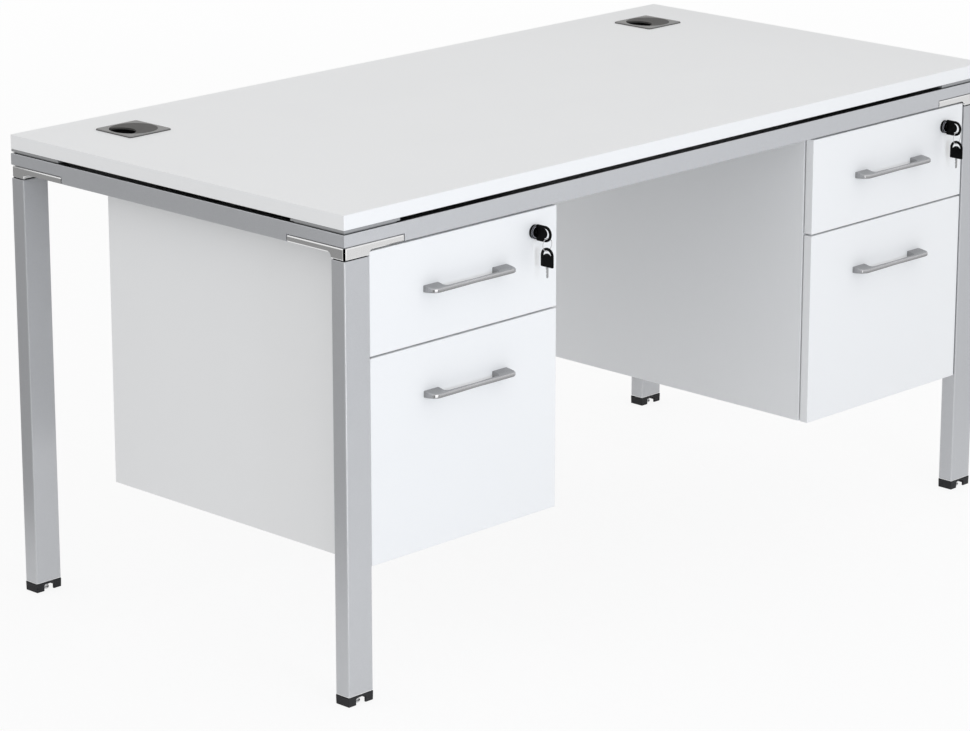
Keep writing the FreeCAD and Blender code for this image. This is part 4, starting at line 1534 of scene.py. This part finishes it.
@dataclass(frozen=True)
class Pedestal:
    """Drawer cabinet under one end of the desk."""

    side: Side
    edge: float = 0.0008
    front_edge: float = 0.0012
    lock_hole_clearance: float = 0.0001

    def boards(self) -> None:
        """Add the side, base and back boards, and dress the lid."""
        side = self.side
        low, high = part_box(f"{side}_pedestal_sides")
        base_low, base_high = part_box(f"{side}_pedestal_base")
        left = board(low, (base_low.x, high.y, high.z), Axis.X, self.edge)
        right = board((base_high.x, low.y, low.z), high, Axis.X, self.edge)
        add_piece(f"{side}_pedestal_side_boards", [left, right], MELAMINE, "frame", f"{side}_pedestal_sides")
        for part, axis in (("base", Axis.Z), ("back", Axis.Y)):
            node = f"{side}_pedestal_{part}"
            add_piece(f"{node}_board", [board(*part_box(node), axis, self.edge)], MELAMINE, "frame", node)
        dress(f"{side}_pedestal_lid", MELAMINE)

    def drawer(self, level: Level, holes: Sequence[Outline]) -> None:
        """Add one drawer's front, tray and handle, and dress its slides.

        Args:
            level: Upper or lower.
            holes: Holes through the front.
        """
        body = f"{self.side}_{level}_drawer"
        front = board(*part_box(f"{body}_front"), Axis.Y, self.front_edge, holes)
        add_piece(f"{body}_front_board", [front], MELAMINE, body, f"{body}_front")
        Tray().build(f"{body}_tray", body)
        Handle().build(f"{body}_handle", body)
        dress(f"{body}_slides", ZINC)

    def build(self) -> None:
        """Add the whole pedestal."""
        lock = LockSet(self.side)
        centre = middle_of(*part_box(f"{self.side}_lock_case"))[[0, 2]]
        hole = circle(centre, lock.body_radius + self.lock_hole_clearance)
        self.boards()
        self.drawer(Level.UPPER, [hole])
        self.drawer(Level.LOWER, [])
        lock.build()


@dataclass(frozen=True)
class Frame:
    """Rails, legs, castings, feet and spacers, with what hangs the pedestals."""

    def build(self) -> None:
        """Add every piece of the frame."""
        x_way, y_way = np.array([1.0, 0.0, 0.0]), np.array([0.0, 1.0, 0.0])
        rails = (Rail("front", x_way, y_way), Rail("back", x_way, -y_way), Rail("left", y_way, x_way),
                 Rail("right", y_way, -x_way))
        for rail in rails:
            rail.build()
        rail_low, rail_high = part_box("rail_front")
        spacer_low, spacer_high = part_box("spacer_plates")
        feet, spacers = [], []
        for corner in (Corner.at(row, side) for row in Row for side in Side):
            feet += LegSet(corner).build()
            CornerCasting(corner, rail_low.z).build()
            spacers += SpacerPlate(corner, rail_high.y - rail_low.y).build(spacer_low.z, spacer_high.z)
        add_piece("foot_caps_moulded", feet, FOOT_PLASTIC, "frame", "foot_caps")
        add_piece("spacer_plates_coated", spacers, SPACER, "frame", "spacer_plates")
        for node in ("pedestal_hangers", "fixing_screws", "cabinet_runners"):
            dress(node, ZINC)


@dataclass(frozen=True)
class Studio:
    """Floor, soft light, white background and camera."""

    picture_width: float = 970.0
    focal_pixels: float = 3830.0
    sensor: float = 36.0
    far_limit: float = 100.0
    camera_place: tuple[float, float, float] = (-4.405164, -4.194386, 2.070308)
    camera_pitch: float = 0.28338
    camera_yaw: float = 0.79893
    white: tuple[float, float, float, float] = (1.0, 1.0, 1.0, 1.0)
    dome: float = 0.815
    fill_place: tuple[float, float, float] = (-1.2, -4.2, 1.3)
    fill_aim: tuple[float, float, float] = (-0.2, 0.0, 0.45)
    fill_size: tuple[float, float] = (1.3, 0.9)
    fill_power: float = 41.0
    fill_colour: tuple[float, float, float] = (0.82, 0.89, 1.0)
    floor_radius: float = 14.0
    floor_colour: tuple[float, float, float, float] = (0.90, 0.90, 0.90, 1.0)
    floor_roughness: float = 0.9
    floor_specular: float = 0.1
    floor_white_share: float = 0.88
    floor_fade_start: float = 1.5
    floor_points: int = 96
    panel_radius: float = 1.15
    panel_height: float = 0.85
    panel_white: float = 0.85
    panel_grey: float = 0.33
    panel_middle: float = 0.70
    panel_half_width: float = 0.875
    panel_blur: float = 0.12
    panel_points: int = 240
    strip_angle: float = 4.01
    strip_half_width: float = 0.25
    strip_tone: float = 2.4
    border_half_width: float = 0.42
    border_tone: float = 0.10

    @staticmethod
    def _seen(tree: bpy.types.NodeTree) -> bpy.types.NodeSocket:
        """Tell rays from the camera, reflections and clear parts from light that is gathered.

        Args:
            tree: The nodes of a material or of the world.

        Returns:
            Output that is 1 for the former and 0 for the latter.
        """
        path = add_node(tree, "ShaderNodeLightPath").outputs
        seen = path["Is Camera Ray"]
        for label in ("Is Glossy Ray", "Is Transmission Ray"):
            either = add_node(tree, "ShaderNodeMath", {0: seen, 1: path[label]}, operation="MAXIMUM")
            seen = either.outputs["Value"]
        return seen

    def world(self) -> None:
        """White to be seen, and an even dome of light to be lit by."""
        world = bpy.data.worlds.new("studio")
        bpy.context.scene.world = world
        world.use_nodes = True
        tree = world.node_tree
        light = tree.nodes["Background"]
        feed(tree, light, {"Color": self.white, "Strength": self.dome})
        white = add_node(tree, "ShaderNodeBackground", {"Color": self.white})
        shares = {"Fac": self._seen(tree), 1: light.outputs["Background"], 2: white.outputs["Background"]}
        mix = add_node(tree, "ShaderNodeMixShader", shares)
        feed(tree, tree.nodes["World Output"], {"Surface": mix.outputs["Shader"]})

    def _floor_material(self) -> bpy.types.Material:
        """Pale paint that turns white towards the edge, where it is seen, and is clear from below.

        Returns:
            The material.
        """
        material = bpy.data.materials.new("pale_floor")
        material.use_nodes = True
        tree = material.node_tree
        paint = tree.nodes["Principled BSDF"]
        feed(tree, paint, {
            "Base Color": self.floor_colour,
            "Roughness": self.floor_roughness,
            "Specular IOR Level": self.floor_specular,
        })
        place = add_node(tree, "ShaderNodeTexCoord").outputs["Object"]
        reach = add_node(tree, "ShaderNodeVectorMath", {0: place}, operation="LENGTH")
        fade = add_node(tree, "ShaderNodeMapRange", {
            "Value": reach.outputs["Value"],
            "From Min": self.floor_fade_start,
            "From Max": self.floor_radius / 2,
            "To Min": self.floor_white_share,
        }, interpolation_type="SMOOTHSTEP")
        factors = {0: fade.outputs["Result"], 1: self._seen(tree)}
        share = add_node(tree, "ShaderNodeMath", factors, operation="MULTIPLY").outputs["Value"]
        white = add_node(tree, "ShaderNodeEmission").outputs["Emission"]
        upper = add_node(tree, "ShaderNodeMixShader", {"Fac": share, 1: paint.outputs["BSDF"], 2: white})
        below = add_node(tree, "ShaderNodeNewGeometry").outputs["Backfacing"]
        clear = add_node(tree, "ShaderNodeBsdfTransparent").outputs["BSDF"]
        both = add_node(tree, "ShaderNodeMixShader", {"Fac": below, 1: upper.outputs["Shader"], 2: clear})
        feed(tree, tree.nodes["Material Output"], {"Surface": both.outputs["Shader"]})
        return material

    @staticmethod
    def _panel_material() -> bpy.types.Material:
        """Glow by the tone at each point.

        Returns:
            The material.
        """
        material = bpy.data.materials.new("panel_paper")
        material.use_nodes = True
        tree = material.node_tree
        tree.nodes.remove(tree.nodes["Principled BSDF"])
        tone = add_node(tree, "ShaderNodeAttribute", attribute_name="tone").outputs["Fac"]
        glow = add_node(tree, "ShaderNodeEmission", {"Strength": tone}).outputs["Emission"]
        feed(tree, tree.nodes["Material Output"], {"Surface": glow})
        return material

    @staticmethod
    def _add(name: str, points: Array, faces: Array, material: bpy.types.Material) -> bpy.types.Object:
        """Add an object that isn't part of the desk.

        Args:
            name: Its name.
            points: Its points.
            faces: One line of point numbers for each of its faces.
            material: Its material.

        Returns:
            The new object.
        """
        mesh = bpy.data.meshes.new(name)
        mesh.from_pydata(points, [], faces.tolist())
        mesh.materials.append(material)
        added = bpy.data.objects.new(name, mesh)
        bpy.context.scene.collection.objects.link(added)
        return added

    def floor(self) -> None:
        """Pale disc that takes the shadow."""
        ring = circle((0.0, 0.0), self.floor_radius, self.floor_points).points
        points = Axis.Z.place(ring, np.zeros(len(ring)))
        floor = self._add("floor", points, np.arange(len(ring))[None, :], self._floor_material())

    def panels(self) -> None:
        """Ring of panels that only reflections see: pale in front, with a bright strip, and grey behind.

        The tone at an angle falls from pale to grey in a smooth step of the distance from the grey panel's
        middle. The strip, between dark borders, stands at the front left, so that only round edges there
        mirror it.
        """
        angle = np.linspace(0.0, math.tau, self.panel_points, endpoint=False)
        aside = np.abs(np.arctan2(np.sin(angle), np.abs(np.cos(angle))) - self.panel_middle)
        step = np.clip((aside - self.panel_half_width) / self.panel_blur + 0.5, 0.0, 1.0)
        tone = self.panel_grey + (self.panel_white - self.panel_grey) * smooth_step(step)
        strip = np.abs(angle - self.strip_angle)
        tone[strip < self.border_half_width] = self.border_tone
        tone[strip < self.strip_half_width] = self.strip_tone
        edge = circle((0.0, 0.0), self.panel_radius, self.panel_points).points
        points = Axis.Z.place(np.stack([edge, edge]), np.array([[0.0], [self.panel_height]]))
        faces = grid_faces(2, self.panel_points)
        ring = self._add("reflected_panels", points.reshape(-1, 3), faces, self._panel_material())
        shade = ring.data.attributes.new("tone", "FLOAT", "POINT")
        shade.data.foreach_set("value", np.tile(tone, 2))
        ring.visible_camera = ring.visible_diffuse = ring.visible_shadow = False
        ring.visible_transmission = ring.visible_volume_scatter = False

    def fill(self) -> None:
        """Soft lamp in front of the drawers, a little to the left, which leaves no glare on the top."""
        lamp = bpy.data.lights.new("front_fill", "AREA")
        lamp.shape = "RECTANGLE"
        lamp.size, lamp.size_y = self.fill_size
        lamp.energy = self.fill_power
        lamp.color = self.fill_colour
        holder = bpy.data.objects.new("front_fill", lamp)
        holder.location = self.fill_place
        aim = Vector(self.fill_aim) - holder.location
        holder.rotation_euler = aim.to_track_quat("-Z", "Y").to_euler()
        holder.visible_glossy = False
        bpy.context.scene.collection.objects.link(holder)

    def camera(self) -> None:
        """Camera at the photograph's viewing angle."""
        lens = bpy.data.cameras.new("camera")
        lens.sensor_width = self.sensor
        lens.lens = self.sensor * self.focal_pixels / self.picture_width
        lens.clip_end = self.far_limit
        camera = bpy.data.objects.new("camera", lens)
        camera.location = self.camera_place
        camera.rotation_euler = (RIGHT_ANGLE - self.camera_pitch, 0.0, -self.camera_yaw)
        bpy.context.scene.collection.objects.link(camera)
        bpy.context.scene.camera = camera

    def build(self) -> None:
        """Set up the whole studio."""
        self.world()
        self.floor()
        self.panels()
        self.fill()
        self.camera()
        bpy.context.scene.view_settings.view_transform = "Standard"


def main() -> None:
    logging.basicConfig(level=logging.INFO, format="%(name)s: %(message)s")
    WorkTop().build()
    Frame().build()
    for side in Side:
        Pedestal(side).build()
    Studio().build()


if __name__ == "__main__":
    main()
